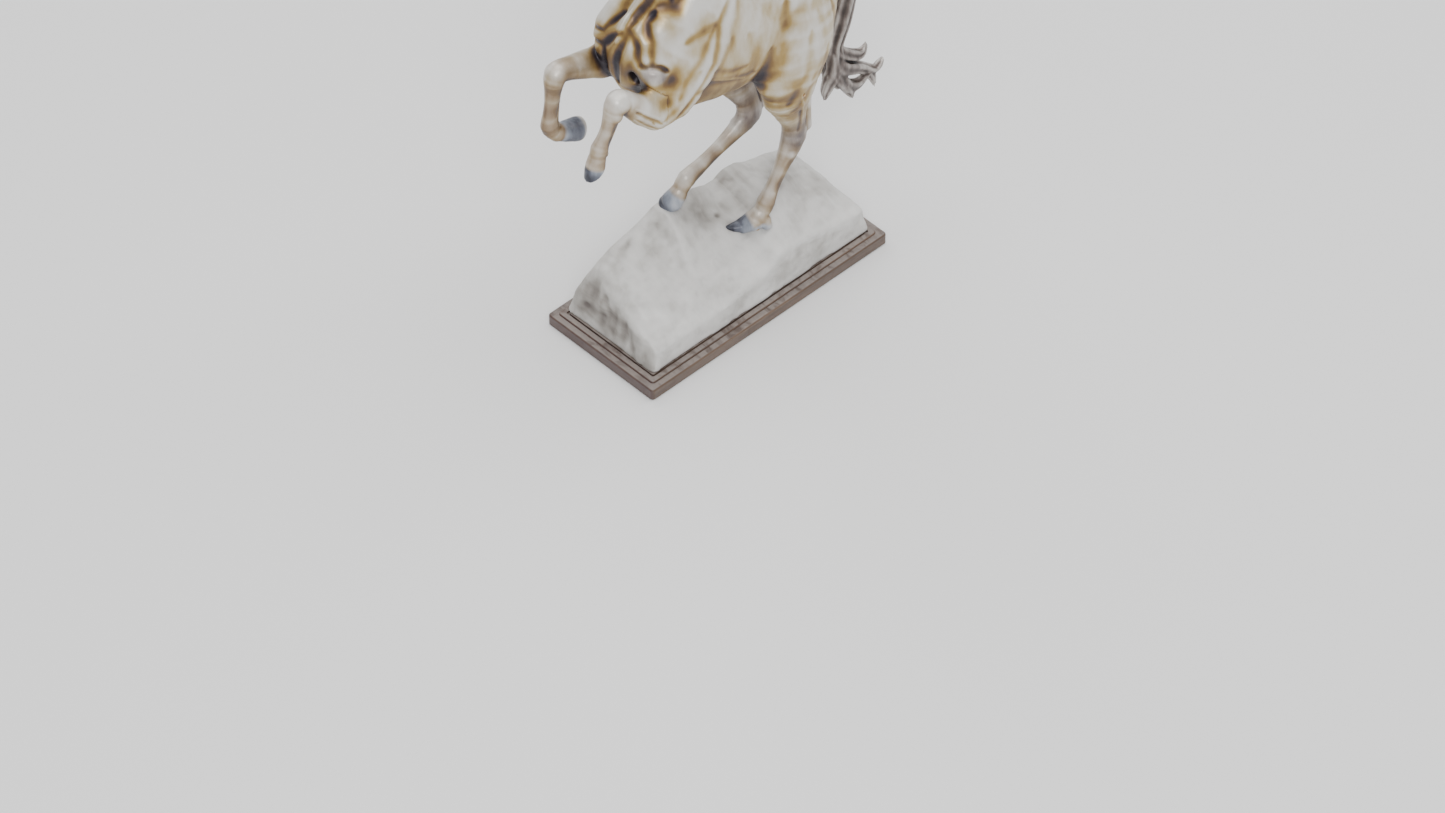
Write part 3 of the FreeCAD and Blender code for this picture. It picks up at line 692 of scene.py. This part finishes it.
def casting(name, clay, shade_from, material):
    """Meshes one casting, paints its zones of patina and painted shade and puts it in place of its CAD node.
    """
    thing, points = meshed(clay, name, shade_from)
    for label, spots in (("gold", GOLD), ("leg", LEG), ("dark", DARK), ("toe", TOE_SHADE), ("hoof", HOOF_AT)):
        zones(thing, points, label, spots)
    thing.data.materials.append(material)
    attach(thing, "root")
    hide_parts(name)


def make_limbs(material):
    for name, (stations, before, box, step, margin) in LIMBS.items():
        clay = Clay(*box, step)
        horse(clay)
        whole = clay.d.copy()
        clay.d = tongued(whole, limb_zone(clay, name))
        casting(name, clay, whole, material)


def make_torso(material):
    clay = Clay((-120, -60, 168), (120, 60, 372), 1.1)
    horse(clay)
    whole = clay.d.copy()
    for name in LIMBS:
        clay.d = np.maximum(clay.d, -limb_zone(clay, name))
    clay.d = np.maximum(clay.d, -plane(clay, *NECK_SEAM))
    casting("torso", clay, whole, material)


def head_zone(clay):
    return np.maximum(near(clay, HEAD_LINE, 0), plane(clay, *HEAD_SEAM))


def make_neck(material):
    clay = Clay((-104, -34, 334), (34, 34, 484), 1.0)
    horse(clay)
    whole = clay.d.copy()
    clay.d = np.maximum(tongued(whole, plane(clay, *NECK_SEAM)), -head_zone(clay))
    casting("neck", clay, whole, material)


def make_head(material):
    clay = Clay((-160, -24, 388), (-42, 24, 488), 0.7)
    horse(clay)
    whole = clay.d.copy()
    clay.d = tongued(whole, head_zone(clay))
    casting("head", clay, whole, material)


def make_ears(material):
    for name, side in (("ear_left", -1), ("ear_right", 1)):
        clay = Clay((-72, min(side, side * 18), 460), (-44, max(side, side * 18), 500), 0.5)
        tube(clay, [(-55, side * 7.5, 466, 5, 4.4), (-55, side * 8.6, 473, 5.4, 4.6),
                    (-56, side * 9, 482, 4.6, 3.9), (-59, side * 8.2, 494, 1.0, 0.9)], 0)
        cup = clay.empty()
        tube(cup, [(-60.5, side * 9.2, 471, 3.4, 2.8), (-61.2, side * 10, 479, 3.2, 2.6),
                   (-61, side * 9.4, 489, 0.9, 0.8)], 0)
        clay.d = carve(clay.d, cup.d, 0.8)
        casting(name, clay, clay.d.copy(), material)


# ---------------------------------------------------------------- hair
def lock(clay, stations, ridges, depth, twist=0.05):
    tube(clay, stations, 1.2, grain=(ridges, depth, twist), smooth=2)


def hair(name, clay, material, *bodies):
    """Hair casting, cut back to the skin of the masses it lies on."""
    whole = clay.d.copy()
    body = clay.empty()
    for fill in bodies:
        fill(body)
    clay.d = np.maximum(clay.d, -body.d)
    casting(name, clay, whole, material)


TAIL_LOCKS = [
    # stem, then the curling locks from the top one down, near side first
    [(90, 0, 263, 7.5, 7.5), (99, 0, 269, 8.5, 8.5), (112, -1, 271, 9.5, 9.5), (124, -3, 260, 10, 10),
     (129.5, -4, 240, 10.5, 10.5), (126, -4, 218, 10.2, 10.5), (119.5, -6, 201, 9.5, 10),
     (114.5, -7, 184, 7, 8), (114, -8, 168, 6.5, 7.5), (112, -9, 158, 5, 6)],
    [(113, -7, 188, 5.5, 5), (113.5, -9, 180, 6, 5), (119, -10, 172, 6, 5), (129, -10, 163.5, 5.2, 4.4),
     (138, -9.5, 157.5, 4.8, 3.8), (144, -9, 157, 3.6, 3), (149, -8, 161.5, 0.8, 0.8)],
    [(112, -9, 176, 5, 4.5), (116, -12, 162, 6, 5), (127, -11.5, 152, 5.4, 4.6), (140, -10, 143.5, 4.7, 4),
     (150, -9, 134.5, 4.2, 3.6), (158, -8, 128.5, 3.7, 3.4), (164, -7, 129, 3.6, 3.2),
     (167.5, -7, 132, 1.6, 1.5)],
    [(149, -9, 134, 3.8, 3), (155, -8.5, 124, 3.2, 2.6), (157.5, -8, 117, 2, 1.7),
     (158.5, -8, 111, 0.7, 0.7)],
    [(113, -11, 160, 5.6, 5), (118.5, -12, 146, 5.5, 5), (126.5, -11, 134, 5.2, 4.6),
     (137.5, -10, 127.5, 4.6, 4), (146, -9.5, 129, 3.7, 3.2), (153, -9, 131, 2.6, 2.2)],
    [(123, -11, 138, 4.8, 4.2), (129, -11, 127.5, 4, 3.5), (132, -11, 118, 0.9, 0.9)],
    [(112, -10, 174, 5.5, 5), (111, -12, 161, 6, 5), (106, -12, 151, 5.6, 4.6), (103, -11.5, 143, 4, 3.4),
     (102.5, -11, 135.5, 1.0, 1.0)],
    [(108, -12, 157, 4.6, 4), (113, -12, 149, 5, 4.4), (118, -12, 142, 4.6, 4)],
    [(126, 0, 222, 7, 6), (124, 2, 203, 6.5, 5.6), (122, 2, 184, 5.4, 5), (124, 2, 168, 5, 4.4),
     (121, 2, 154, 4.2, 3.6), (124, 2, 144, 2.8, 2.6), (131, 1, 142, 0.8, 0.8)],
    [(118, 3, 214, 6, 5), (113, 3, 194, 5.4, 4.8), (111, 2, 176, 5, 4.4), (110, 1, 160, 4.2, 3.6),
     (114, 0, 148, 2.8, 2.4), (111, 0, 139, 0.8, 0.8)],
]


def make_tail(material):
    clay = Clay((84, -24, 108), (176, 18, 286), 0.75)
    for k, path in enumerate(TAIL_LOCKS):
        lock(clay, path, ridges=7 if k == 0 else 4 + k % 2, depth=1.0 if k == 0 else 0.75,
             twist=0.04 + 0.008 * k)
    hair("tail", clay, material, masses)


MANE_LOCKS = 26
CREST = [(-50, 470), (-44, 456), (-38, 436), (-31, 412), (-20, 388), (-6, 366), (10, 347)]


def crest_at(t):
    """Point (x, z) of the neck's crest, from the poll (0) to the withers (1)."""
    g = t * (len(CREST) - 1)
    i = min(int(g), len(CREST) - 2)
    f = g - i
    return tuple(a + (b - a) * f for a, b in zip(CREST[i], CREST[i + 1]))


def make_mane(material):
    """Locks blown back from the crest, thicker at the root and each a little different."""
    draw = np.random.default_rng(7)
    clay = Clay((-78, -34, 332), (58, 34, 494), 0.9)
    tube(clay, [(x, 0, z, 7, 5) for x, z in CREST], 1)
    for i in range(MANE_LOCKS):
        t = (i + 0.5) / MANE_LOCKS
        x, z = crest_at(t)
        side = (-1, 1, 0)[i % 3]
        if side == 0:
            side = draw.uniform(-0.4, 0.4)
        reach = draw.uniform(0.85, 1.25) * (1.0 - 0.25 * abs(t - 0.5))
        rise = draw.uniform(-3, 5)
        out = side * draw.uniform(0.8, 1.1)
        path = [(x - 5, out * 3, z - 2, 4.5, 3.6),
                (x + 7 * reach, out * 9, z + 4 + rise, 5.2, 3.8),
                (x + 18 * reach, out * 13, z - 2 + rise, 4.8, 3.4),
                (x + 29 * reach, out * 13, z - 11 + rise, 3.6, 2.8),
                (x + 38 * reach, out * 11, z - 12 + rise * 1.5, 2.2, 1.8),
                (x + 46 * reach, out * 10, z - 7 + rise * 2, 0.8, 0.7)]
        lock(clay, path, ridges=4, depth=0.5, twist=draw.uniform(0.03, 0.09))
    hair("mane", clay, material, masses, head_masses)


def make_forelock(material):
    clay = Clay((-104, -14, 448), (-46, 14, 490), 0.7)
    for y, spread in ((-3.5, -3), (0, 1), (3.5, 4)):
        path = [(2, y * 0.6, 14, 3.6, 3.4), (14, y, 18, 3.8, 3.6), (26, y + spread * 0.6, 17.5, 3.4, 3.2),
                (38, y + spread, 14.5, 2.4, 2.4), (47, y + spread * 1.3, 14, 0.8, 0.8)]
        lock(clay, head_path(1, path), ridges=4, depth=0.45)
    hair("forelock", clay, material, head_masses)


# ---------------------------------------------------------------- materials
SOCKETS = {"colour": "Base Color", "metal": "Metallic", "rough": "Roughness", "coat": "Coat Weight",
           "sheen": "Sheen Weight", "specular": "Specular IOR Level"}


class Look:
    """A procedural material, put together one node at a time."""

    def __init__(self, name):
        self.material = bpy.data.materials.new(name)
        self.material.use_nodes = True
        self.tree = self.material.node_tree
        self.shader = self.tree.nodes["Principled BSDF"]
        self.place = self.node("TexCoord").outputs["Object"]

    def node(self, kind, inputs=(), **settings):
        """New shader node with its settings, and (input, value or socket) pairs fed in."""
        made = self.tree.nodes.new("ShaderNode" + kind)
        for key, value in settings.items():
            setattr(made, key, value)
        for key, value in inputs:
            self.feed(made.inputs[key], value)
        return made

    def feed(self, socket, value):
        if isinstance(value, bpy.types.NodeSocket):
            self.tree.links.new(value, socket)
        else:
            socket.default_value = value

    def set(self, **values):
        for key, value in values.items():
            self.feed(self.shader.inputs[SOCKETS[key]], value)

    def noise(self, scale, stretch=(1, 1, 1), detail=4.0, distortion=0.0, turn=(0, 0, 0)):
        mapped = self.node("Mapping", (("Vector", self.place), ("Scale", [scale * s for s in stretch]),
                                       ("Rotation", [math.radians(a) for a in turn])))
        return self.node("TexNoise", (("Vector", mapped.outputs[0]), ("Scale", 1.0), ("Detail", detail),
                                      ("Distortion", distortion))).outputs["Fac"]

    def attribute(self, name):
        return self.node("Attribute", attribute_name=name).outputs["Fac"]

    def facing(self, axis):
        """How far the surface faces along an axis of the object, -1 to 1."""
        normal = self.node("NewGeometry").outputs["Normal"]
        return self.node("VectorMath", ((0, normal), (1, axis)), operation="DOT_PRODUCT").outputs["Value"]

    def maths(self, kind, a, b=0.0):
        return self.node("Math", ((0, a), (1, b)), operation=kind).outputs[0]

    def centred(self, value):
        return self.maths("SUBTRACT", value, 0.5)

    def added(self, *terms):
        """Sum of (value, weight) pairs."""
        total = 0.0
        for value, weight in terms:
            total = self.maths("ADD", self.maths("MULTIPLY", value, weight), total)
        return total

    def fitted(self, value, low, high, to_low=0.0, to_high=1.0):
        """A value's range from low to high, moved to another range and held inside it."""
        pairs = enumerate((value, low, high, to_low, to_high))
        return self.node("MapRange", pairs).outputs[0]

    def ramp(self, value, *stops):
        node = self.node("ValToRGB", ((0, value),))
        band = node.color_ramp
        while len(band.elements) < len(stops):
            band.elements.new(0.5)
        for element, (at, colour) in zip(band.elements, stops):
            element.position = at
            element.color = (*colour, 1)
        return node.outputs[0]

    def blend(self, amount, a, b):
        """Mix of two colours; a bare tuple is a colour that stays the same."""
        a, b = ((*c, 1) if isinstance(c, tuple) else c for c in (a, b))
        return self.node("Mix", data_type="RGBA", inputs=((0, amount), (6, a), (7, b))).outputs[2]

    def bump(self, height, distance, strength):
        node = self.node("Bump", (("Strength", strength), ("Distance", distance * MM), ("Height", height)))
        self.feed(self.shader.inputs["Normal"], node.outputs[0])


def pale_bronze():
    """Cream-rubbed bronze: ochre patina in the hollows deepened with painted shade to near black in the
    deepest creases, painted shade on faces turned down and away and on the legs' edges, grey hooves with
    painted shade on their toes.
    """
    look = Look("pale_bronze")
    # crease, hollow and broad tell how deep a point lies among the forms: they darken the colour as patina
    # in the hollows, deepened with painted shade to near black in the deepest creases
    crease = look.fitted(look.attribute("crease"), -0.03, 0.22)
    hollow = look.fitted(look.attribute("hollow"), -0.06, 0.20)
    broad = look.fitted(look.attribute("broad"), -0.16, 0.12)
    cloud = look.noise(30, detail=5, distortion=0.8)
    brush = look.noise(170, (1, 1, 0.3), detail=4, turn=(0, 25, 0))
    fine = look.noise(1100, detail=3)
    leg = look.attribute("leg")
    sideways = look.maths("ABSOLUTE", look.facing((0, 1, 0)))
    # painted shade: faces turned down, forward and back are darkened in the colour, while the top and the
    # sides stay light
    over = look.added((sideways, 0.52), (look.facing((0.18, 0, 0.84)), 1.0))
    turned_away_shade = look.fitted(over, -0.55, 0.85, 1, 0)
    # painted shade on the legs: faces turned down and back, away from the front and the sides, are darkened
    # in the colour
    front = look.added((sideways, 0.42), (look.facing((-0.44, 0, 0.79)), 1.0))
    edge = look.fitted(front, 0.1, 0.95, 1, 0)
    # tone: patina in the hollows deepened with painted shade, golden patina that is partly painted shade by
    # place, painted shade on turned-away faces and leg edges, the legs' browner patina and a random mottle
    tone = look.added((crease, 0.24), (hollow, 0.50), (broad, 0.42), (look.attribute("gold"), 0.34),
                      (look.blend(leg, turned_away_shade, edge), 0.46), (leg, 0.41),
                      (look.centred(cloud), 0.36), (look.centred(brush), 0.18),
                      (1.0, -0.20))
    skin = look.ramp(tone, (0.0, (0.68, 0.665, 0.63)), (0.14, (0.60, 0.565, 0.50)),
                     (0.26, (0.50, 0.42, 0.28)), (0.39, (0.37, 0.25, 0.085)), (0.54, (0.20, 0.115, 0.04)),
                     (0.70, (0.085, 0.055, 0.045)), (0.88, (0.026, 0.021, 0.030)))
    bone = look.ramp(tone, (0.0, (0.68, 0.63, 0.57)), (0.12, (0.50, 0.42, 0.34)), (0.24, (0.32, 0.23, 0.16)),
                     (0.40, (0.17, 0.11, 0.075)), (0.60, (0.06, 0.045, 0.045)))
    skin = look.blend(look.fitted(look.added((leg, 1.0), (cloud, 0.5)), 0.35, 1.2, 0, 0.85), skin, bone)
    # grey-brown for the dark zones: painted shade in the folds and on the far hind leg, and the darker
    # joints
    grey = look.ramp(look.added((tone, 1.0), (brush, 0.3)), (0.2, (0.40, 0.36, 0.34)),
                     (0.5, (0.17, 0.14, 0.135)), (0.8, (0.045, 0.036, 0.042)))
    skin = look.blend(look.fitted(look.added((look.attribute("dark"), 1.0), (brush, 0.4)), 0.35, 1.0),
                      skin, grey)
    # horn: a random mottle, with painted shade on faces turned forward, to the far side and down, on the
    # toes and in the creases
    horn_mottle_and_shade = look.added((look.noise(200, (1, 1, 0.2)), 0.5), (look.facing((-0.75, 0.6, -0.25)), 0.25),
                           (look.attribute("toe"), 0.65), (crease, 0.3))
    horn = look.ramp(horn_mottle_and_shade, (0.1, (0.50, 0.52, 0.56)), (0.35, (0.30, 0.33, 0.39)),
                     (0.6, (0.11, 0.12, 0.155)), (0.85, (0.028, 0.03, 0.045)))
    skin = look.blend(look.fitted(look.attribute("hoof"), 0.42, 0.60), skin, horn)
    look.set(colour=skin, metal=look.fitted(tone, 0.1, 0.6, 0.15, 0.45),
             rough=look.fitted(look.added((brush, 0.5), (fine, 0.5), (tone, 0.25)), 0.3, 0.9, 0.28, 0.50))
    look.bump(look.added((brush, 0.7), (fine, 0.3)), 0.35, 0.5)
    return look.material


def dark_bronze():
    """Hair: dark grey-brown bronze, rubbed bright along the strands, darker in its grooves as patina
    deepened with painted shade, with painted light on faces turned up, forward and to the near side.
    """
    look = Look("dark_bronze")
    crease = look.fitted(look.attribute("crease"), -0.12, 0.22)
    hollow = look.fitted(look.attribute("hollow"), -0.25, 0.15)
    cloud = look.noise(55, detail=5, distortion=0.8)
    strand = look.noise(240, (1, 1, 0.25), detail=4, turn=(0, 20, 0))
    # painted shade in the grooves over the patina, and painted light on faces turned up, forward and to the
    # near side
    tone = look.added((crease, 0.64), (hollow, 0.26), (look.facing((-0.46, -0.40, 0.79)), -0.13),
                      (look.centred(cloud), 0.5), (look.centred(strand), 0.6),
                      (1.0, 0.12))
    colour = look.ramp(tone, (0.0, (0.46, 0.43, 0.40)), (0.18, (0.28, 0.245, 0.225)),
                       (0.36, (0.14, 0.112, 0.10)), (0.55, (0.065, 0.05, 0.044)),
                       (0.8, (0.018, 0.014, 0.014)))
    look.set(colour=colour, metal=0.4, rough=look.fitted(tone, 0, 1, 0.34, 0.55))
    look.bump(look.added((strand, 0.8), (look.noise(1100), 0.2)), 0.4, 0.6)
    return look.material


def marble():
    """Warm white marble, softly clouded and chiselled, with painted shade: greyer on its sides and its -X
    end, browner in its dips and its dark zones.
    """
    look = Look("stone")
    cloud = look.noise(13, detail=6, distortion=1.2)
    vein = look.noise(24, (1, 0.4, 1.6), detail=7, distortion=2.0, turn=(20, 10, 30))
    chisel = look.noise(150, (1, 0.3, 1), detail=5, distortion=0.5, turn=(0, 0, 35))
    streak = look.noise(110, (1, 1, 0.18), detail=6, distortion=0.6, turn=(0, 18, 0))
    grit = look.noise(1300, detail=2)
    # painted shade in the dips of the stone
    dip_shade = look.fitted(look.attribute("hollow"), -0.04, 0.14)
    # painted shade on the sides, below the lit top
    side_shade = look.fitted(look.facing((0, 0, 1)), 0.15, 0.95, 1.0, 0.0)
    # the -X end: its own chisel marks, and painted shade
    end = look.fitted(look.facing((-0.96, 0.1, 0.1)), 0.30, 0.62)
    marks = look.blend(end, chisel, streak)
    # tone: clouds and veins of the marble, chisel marks, and painted shade in the dips, on the sides, on the
    # -X end and in the dark zones
    tone = look.added((cloud, 0.40), (vein, 0.40), (marks, 0.26), (dip_shade, 0.28),
                      (look.attribute("dark"), 0.46), (side_shade, 0.10), (end, 0.13), (1.0, -0.09))
    colour = look.ramp(look.fitted(tone, 0.34, 1.12), (0.0, (0.76, 0.75, 0.73)), (0.25, (0.65, 0.64, 0.62)),
                       (0.45, (0.50, 0.485, 0.46)), (0.65, (0.32, 0.30, 0.275)), (0.9, (0.15, 0.13, 0.12)))
    look.set(colour=colour, rough=look.fitted(chisel, 0.3, 0.7, 0.5, 0.75), specular=0.3)
    look.bump(look.added((marks, 0.75), (grit, 0.25)), 0.8, 0.6)
    return look.material


def plinth_wood():
    """Walnut-brown moulding with a redder cast on the end grain and a grey mottle on its upward faces."""
    look = Look("plinth_wood")
    grain = look.noise(55, (0.12, 1.6, 2.2), detail=8, distortion=0.8)
    fibre = look.noise(900, (0.05, 1, 1), detail=3)
    mottle = look.noise(120, (1, 0.5, 1), detail=6, distortion=1.0)
    end = look.fitted(look.maths("ABSOLUTE", look.facing((1, 0, 0))), 0.3, 0.8)
    top = look.fitted(look.facing((0, 0, 1)), 0.85, 0.98)
    wood = look.ramp(look.added((grain, 0.75), (fibre, 0.25)), (0.25, (0.18, 0.118, 0.08)),
                     (0.48, (0.105, 0.064, 0.042)), (0.7, (0.042, 0.025, 0.019)))
    wood = look.blend(look.maths("MULTIPLY", end, 0.75), wood, (0.066, 0.034, 0.033))
    margin = look.ramp(mottle, (0.35, (0.37, 0.34, 0.32)), (0.5, (0.24, 0.21, 0.195)),
                       (0.65, (0.11, 0.085, 0.075)))
    wood = look.blend(look.maths("MULTIPLY", top, look.fitted(mottle, 0.3, 0.5, 0.35, 0.75)), wood, margin)
    look.set(colour=wood, rough=look.fitted(mottle, 0.35, 0.65, 0.3, 0.5), coat=0.25)
    look.bump(look.added((grain, 0.4), (fibre, 0.6)), 0.25, 0.5)
    return look.material


def plain_metal(name, light, dark, rough):
    """Turned steel or brass with fine tool marks and a little tarnish."""
    look = Look(name)
    marks = look.noise(2500, (1, 1, 0.1), detail=2)
    tarnish = look.noise(220, detail=5)
    look.set(colour=look.ramp(tarnish, (0.3, light), (0.7, dark)), metal=1.0,
             rough=look.fitted(marks, 0.3, 0.7, rough - 0.08, rough + 0.12))
    look.bump(marks, 0.05, 0.4)
    return look.material


def felt():
    look = Look("felt")
    fuzz = look.noise(1800, detail=4, distortion=0.4)
    patch = look.noise(90, detail=4)
    colour = look.ramp(look.added((fuzz, 0.6), (patch, 0.4)), (0.3, (0.022, 0.05, 0.03)),
                       (0.7, (0.05, 0.10, 0.06)))
    look.set(colour=colour, rough=0.95, sheen=0.4)
    look.bump(fuzz, 0.4, 0.8)
    return look.material


def floor_paper():
    """Pale studio paper with the faintest tooth."""
    look = Look("floor")
    tooth = look.noise(450, detail=3)
    wash = look.noise(3, detail=3)
    look.set(colour=look.ramp(look.added((tooth, 0.4), (wash, 0.6)), (0.2, (0.815, 0.815, 0.815)),
                              (0.8, (0.84, 0.84, 0.84))), rough=0.9, specular=0.2)
    look.bump(tooth, 0.1, 0.2)
    return look.material


MADE = {"pale_bronze": pale_bronze(), "dark_bronze": dark_bronze(), "stone": marble(),
        "plinth_wood": plinth_wood(), "felt": felt(),
        "steel": plain_metal("steel", (0.62, 0.62, 0.63), (0.42, 0.41, 0.40), 0.32),
        "yellow_brass": plain_metal("yellow_brass", (0.80, 0.62, 0.30), (0.52, 0.37, 0.16), 0.3),
        "stud_bronze": plain_metal("stud_bronze", (0.66, 0.46, 0.26), (0.40, 0.26, 0.14), 0.34)}
CAD_LOOKS = {"felt_pad": "felt", "plinth": "plinth_wood", "rock": "stone", "base_screws": "steel",
             "base_screw_washers": "steel", "rock_inserts": "yellow_brass", "stud_nuts": "steel",
             "stud_washers": "steel", "hoof_stud_left": "stud_bronze", "hoof_stud_right": "stud_bronze",
             "joint_pins": "stud_bronze", "core_plug": "pale_bronze"}


# ---------------------------------------------------------------- rock
def lattice_noise(clay, spacing, seed):
    """Smooth random field over the grid, about -1 to 1, with lumps of the given size in mm."""
    draw = np.random.default_rng(seed)
    out = None
    for axis, size in zip(clay.axes, spacing):
        g = axis / f32(size)
        g = g - g.min()
        i = np.floor(g).astype(int)
        t = (g - i).astype(f32)
        t = t * t * (3 - 2 * t)
        out = (out or []) + [(i, t)]
    table = draw.uniform(-1, 1, [o[0].max() + 2 for o in out]).astype(f32)
    for k, (i, t) in enumerate(out):
        a = np.take(table, i, axis=k)
        b = np.take(table, i + 1, axis=k)
        shape = [1, 1, 1]
        shape[k] = -1
        t = t.reshape(shape)
        table = a * (1 - t) + b * t
    return table


ROCK_BASE = 12.0
ROCK_ENDS = (-113.0, 117.0)
ROCK_SIDES = (-47.0, 50.0)
ROCK_CREST = [(-113, 38), (-107, 50), (-99, 61), (-84, 71), (-66, 77), (-48, 82), (-38, 87), (-30, 87),
              (-16, 84), (2, 79), (14, 74), (26, 71), (36, 76), (48, 75), (60, 69), (80, 63), (96, 57),
              (108, 47), (117, 36)]
ROCK_END_LEAN = [(-48, 8.0), (-44, 7.6), (-30, 3.4), (-18, 3.0), (-2, 4.6), (10, 5.7), (22, 6.6), (40, 7)]
ROCK_EDGE = [(-113, 30), (-70, 29), (-38, 31), (1, 33), (16, 37), (24, 43), (37, 44), (72, 39), (117, 33)]
# humps and hollows of the upper surface: (height, place, size, turn)
ROCK_LUMPS = [
    (-7, (-4, 8), (20, 13), 15), (-5, (-62, 4), (9, 24), -18), (3.5, (-42, 0), (5, 24), -14),
    (-3.5, (-74, 26), (16, 6), 20), (3, (-92, -8), (10, 26), 12), (-3.0, (-2, -22), (34, 9), 8),
    (2.5, (62, 0), (28, 14), 24), (-2.2, (88, 8), (10, 22), 30), (-3.6, (6, -7.5), (7, 5), 28),
    (-1.6, (5, 6), (3.2, 2.2), 0.0),
]


def lump(x, y, at, size, turn):
    """Soft round bump of height one, stretched to size and turned by degrees."""
    c, s = math.cos(math.radians(turn)), math.sin(math.radians(turn))
    u = (x - at[0]) * c + (y - at[1]) * s
    v = (y - at[1]) * c - (x - at[0]) * s
    return np.exp(-(u / size[0]) ** 2 - (v / size[1]) ** 2)


def rock_top(x, y):
    """Height of the stone's upper surface."""
    crest = np.interp(x, *zip(*ROCK_CREST))
    edge = np.interp(x, *zip(*ROCK_EDGE))
    t = np.clip((y + 44) / 74.0, 0, 1)
    height = edge + (crest - edge) * np.sin(t * np.pi / 2)
    back = np.clip((y - 30) / 20.0, 0, 1)
    height = height - (crest - 26) * back ** 1.7
    for amount, at, size, turn in ROCK_LUMPS:
        height = height + amount * lump(x, y, at, size, turn)
    return height


def make_rock(material):
    clay = Clay((-118, -52, 8), (122, 55, 92), 1.3)
    x, y, z = clay.everywhere()
    broad = lattice_noise(clay, (26, 20, 18), 3)
    middle = lattice_noise(clay, (11, 6, 9), 4)
    chips = lattice_noise(clay, (5.5, 2.6, 3.4), 5)
    top = (z - rock_top(x, y).astype(f32)) * f32(0.78)
    lean = (z - ROCK_BASE) / 24.0
    grown = np.clip(lean * 1.5, 0, 1)
    near = -(y - ROCK_SIDES[0]) + lean * 3.0 + broad * grown * 1.2
    far = (y - ROCK_SIDES[1]) + lean * 3.5
    right = (x - ROCK_ENDS[1]) + lean * 3.0 + broad * grown
    scoop = 3.0 * np.exp(-((y + 4) / 24) ** 2 - ((z - 26) / 12) ** 2)
    left = -(x - ROCK_ENDS[0]) + lean * np.interp(y, *zip(*ROCK_END_LEAN)) + scoop + middle * grown
    sides = melt(melt(-near, -far, 5), melt(-left, -right, 5), 6)
    d = -melt(-top, sides, 2.6)
    d = d + broad * 0.9 + middle * 0.6 + chips * 0.28
    clay.d = np.maximum(d, ROCK_BASE - z).astype(f32)
    whole = clay.d.copy()
    thing, points = meshed(clay, "rock", whole)
    # painted shade by place: on the -X end, in the hollows of the top and on the far slope behind the crest
    dark = [(-113, y, z, 12, 0.38) for y, z in ((30, 24), (12, 20), (-6, 20), (-24, 20), (-38, 18), (0, 36))]
    dark += [(72, 8, 66, 26, 0.62), (44, 24, 72, 22, 0.6), (100, -8, 50, 18, 0.4), (-103, 33, 42, 16, 0.3),
             (4, 6, 62, 5, 0.8), (-4, 24, 80, 20, 0.5), (-14, 10, 72, 22, 0.42), (12, 2, 66, 16, 0.35),
             (-66, 14, 62, 12, 0.5), (-78, 28, 68, 10, 0.4), (34, 26, 72, 22, 0.3), (-60, -8, 48, 8, 0.3),
             (-40, 4, 60, 5, 0.25), (92, 20, 52, 12, 0.25)]
    zones(thing, points, "dark", dark)
    thing.data.materials.append(material)
    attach(thing, "root")
    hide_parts("rock")


for make in (make_limbs, make_torso, make_neck, make_head, make_ears):
    make(MADE["pale_bronze"])
for make in (make_tail, make_mane, make_forelock):
    make(MADE["dark_bronze"])
make_rock(MADE["stone"])
for name, look in CAD_LOOKS.items():
    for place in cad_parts[name].material_slots:
        place.material = MADE[look]


# ---------------------------------------------------------------- stage
# place and size in metres, power in watts: the key light, two fills and the one overhead
SOFTBOXES = [((-1.7, -1.9, 2.6), 1.2, 62), ((2.2, -0.6, 2.2), 2.0, 24), ((0.4, 2.4, 2.0), 2.0, 24),
             ((0, 0, 3.4), 3.0, 92)]
CAMERA_AZIMUTH = -43.8382
CAMERA_ELEVATION = 45.2174
CAMERA_LENS = 250.0
CAMERA_SENSOR = 36.0
CAMERA_TARGET = Vector((-0.09024, -0.09899, 0))
CAMERA_DISTANCE = 7.6272


def stage():
    """Pale paper floor under a white sky and four soft lights."""
    bpy.ops.mesh.primitive_plane_add(size=30.0)
    floor = bpy.context.object
    floor.name = "floor"
    floor.data.materials.append(floor_paper())
    world = bpy.data.worlds.new("studio")
    bpy.context.scene.world = world
    world.use_nodes = True
    world.node_tree.nodes["Background"].inputs[0].default_value = (1, 1, 1, 1)
    world.node_tree.nodes["Background"].inputs[1].default_value = 0.42
    for where, size, power in SOFTBOXES:
        light = bpy.data.objects.new("softbox", bpy.data.lights.new("softbox", "AREA"))
        light.data.size = size
        light.data.energy = power
        light.location = where
        light.rotation_euler = (Vector((0, 0, 0.2)) - light.location).to_track_quat("-Z", "Y").to_euler()
        bpy.context.scene.collection.objects.link(light)


def camera():
    azimuth = math.radians(CAMERA_AZIMUTH)
    elevation = math.radians(CAMERA_ELEVATION)
    back = Vector((math.sin(azimuth) * math.cos(elevation), -math.cos(azimuth) * math.cos(elevation),
                   math.sin(elevation)))
    cam = bpy.data.objects.new("camera", bpy.data.cameras.new("camera"))
    cam.data.lens = CAMERA_LENS
    cam.data.sensor_width = CAMERA_SENSOR
    cam.data.clip_end = 100.0
    cam.location = CAMERA_TARGET + back * CAMERA_DISTANCE
    cam.rotation_euler = (-back).to_track_quat("-Z", "Y").to_euler()
    bpy.context.scene.collection.objects.link(cam)
    bpy.context.scene.camera = cam


stage()
camera()
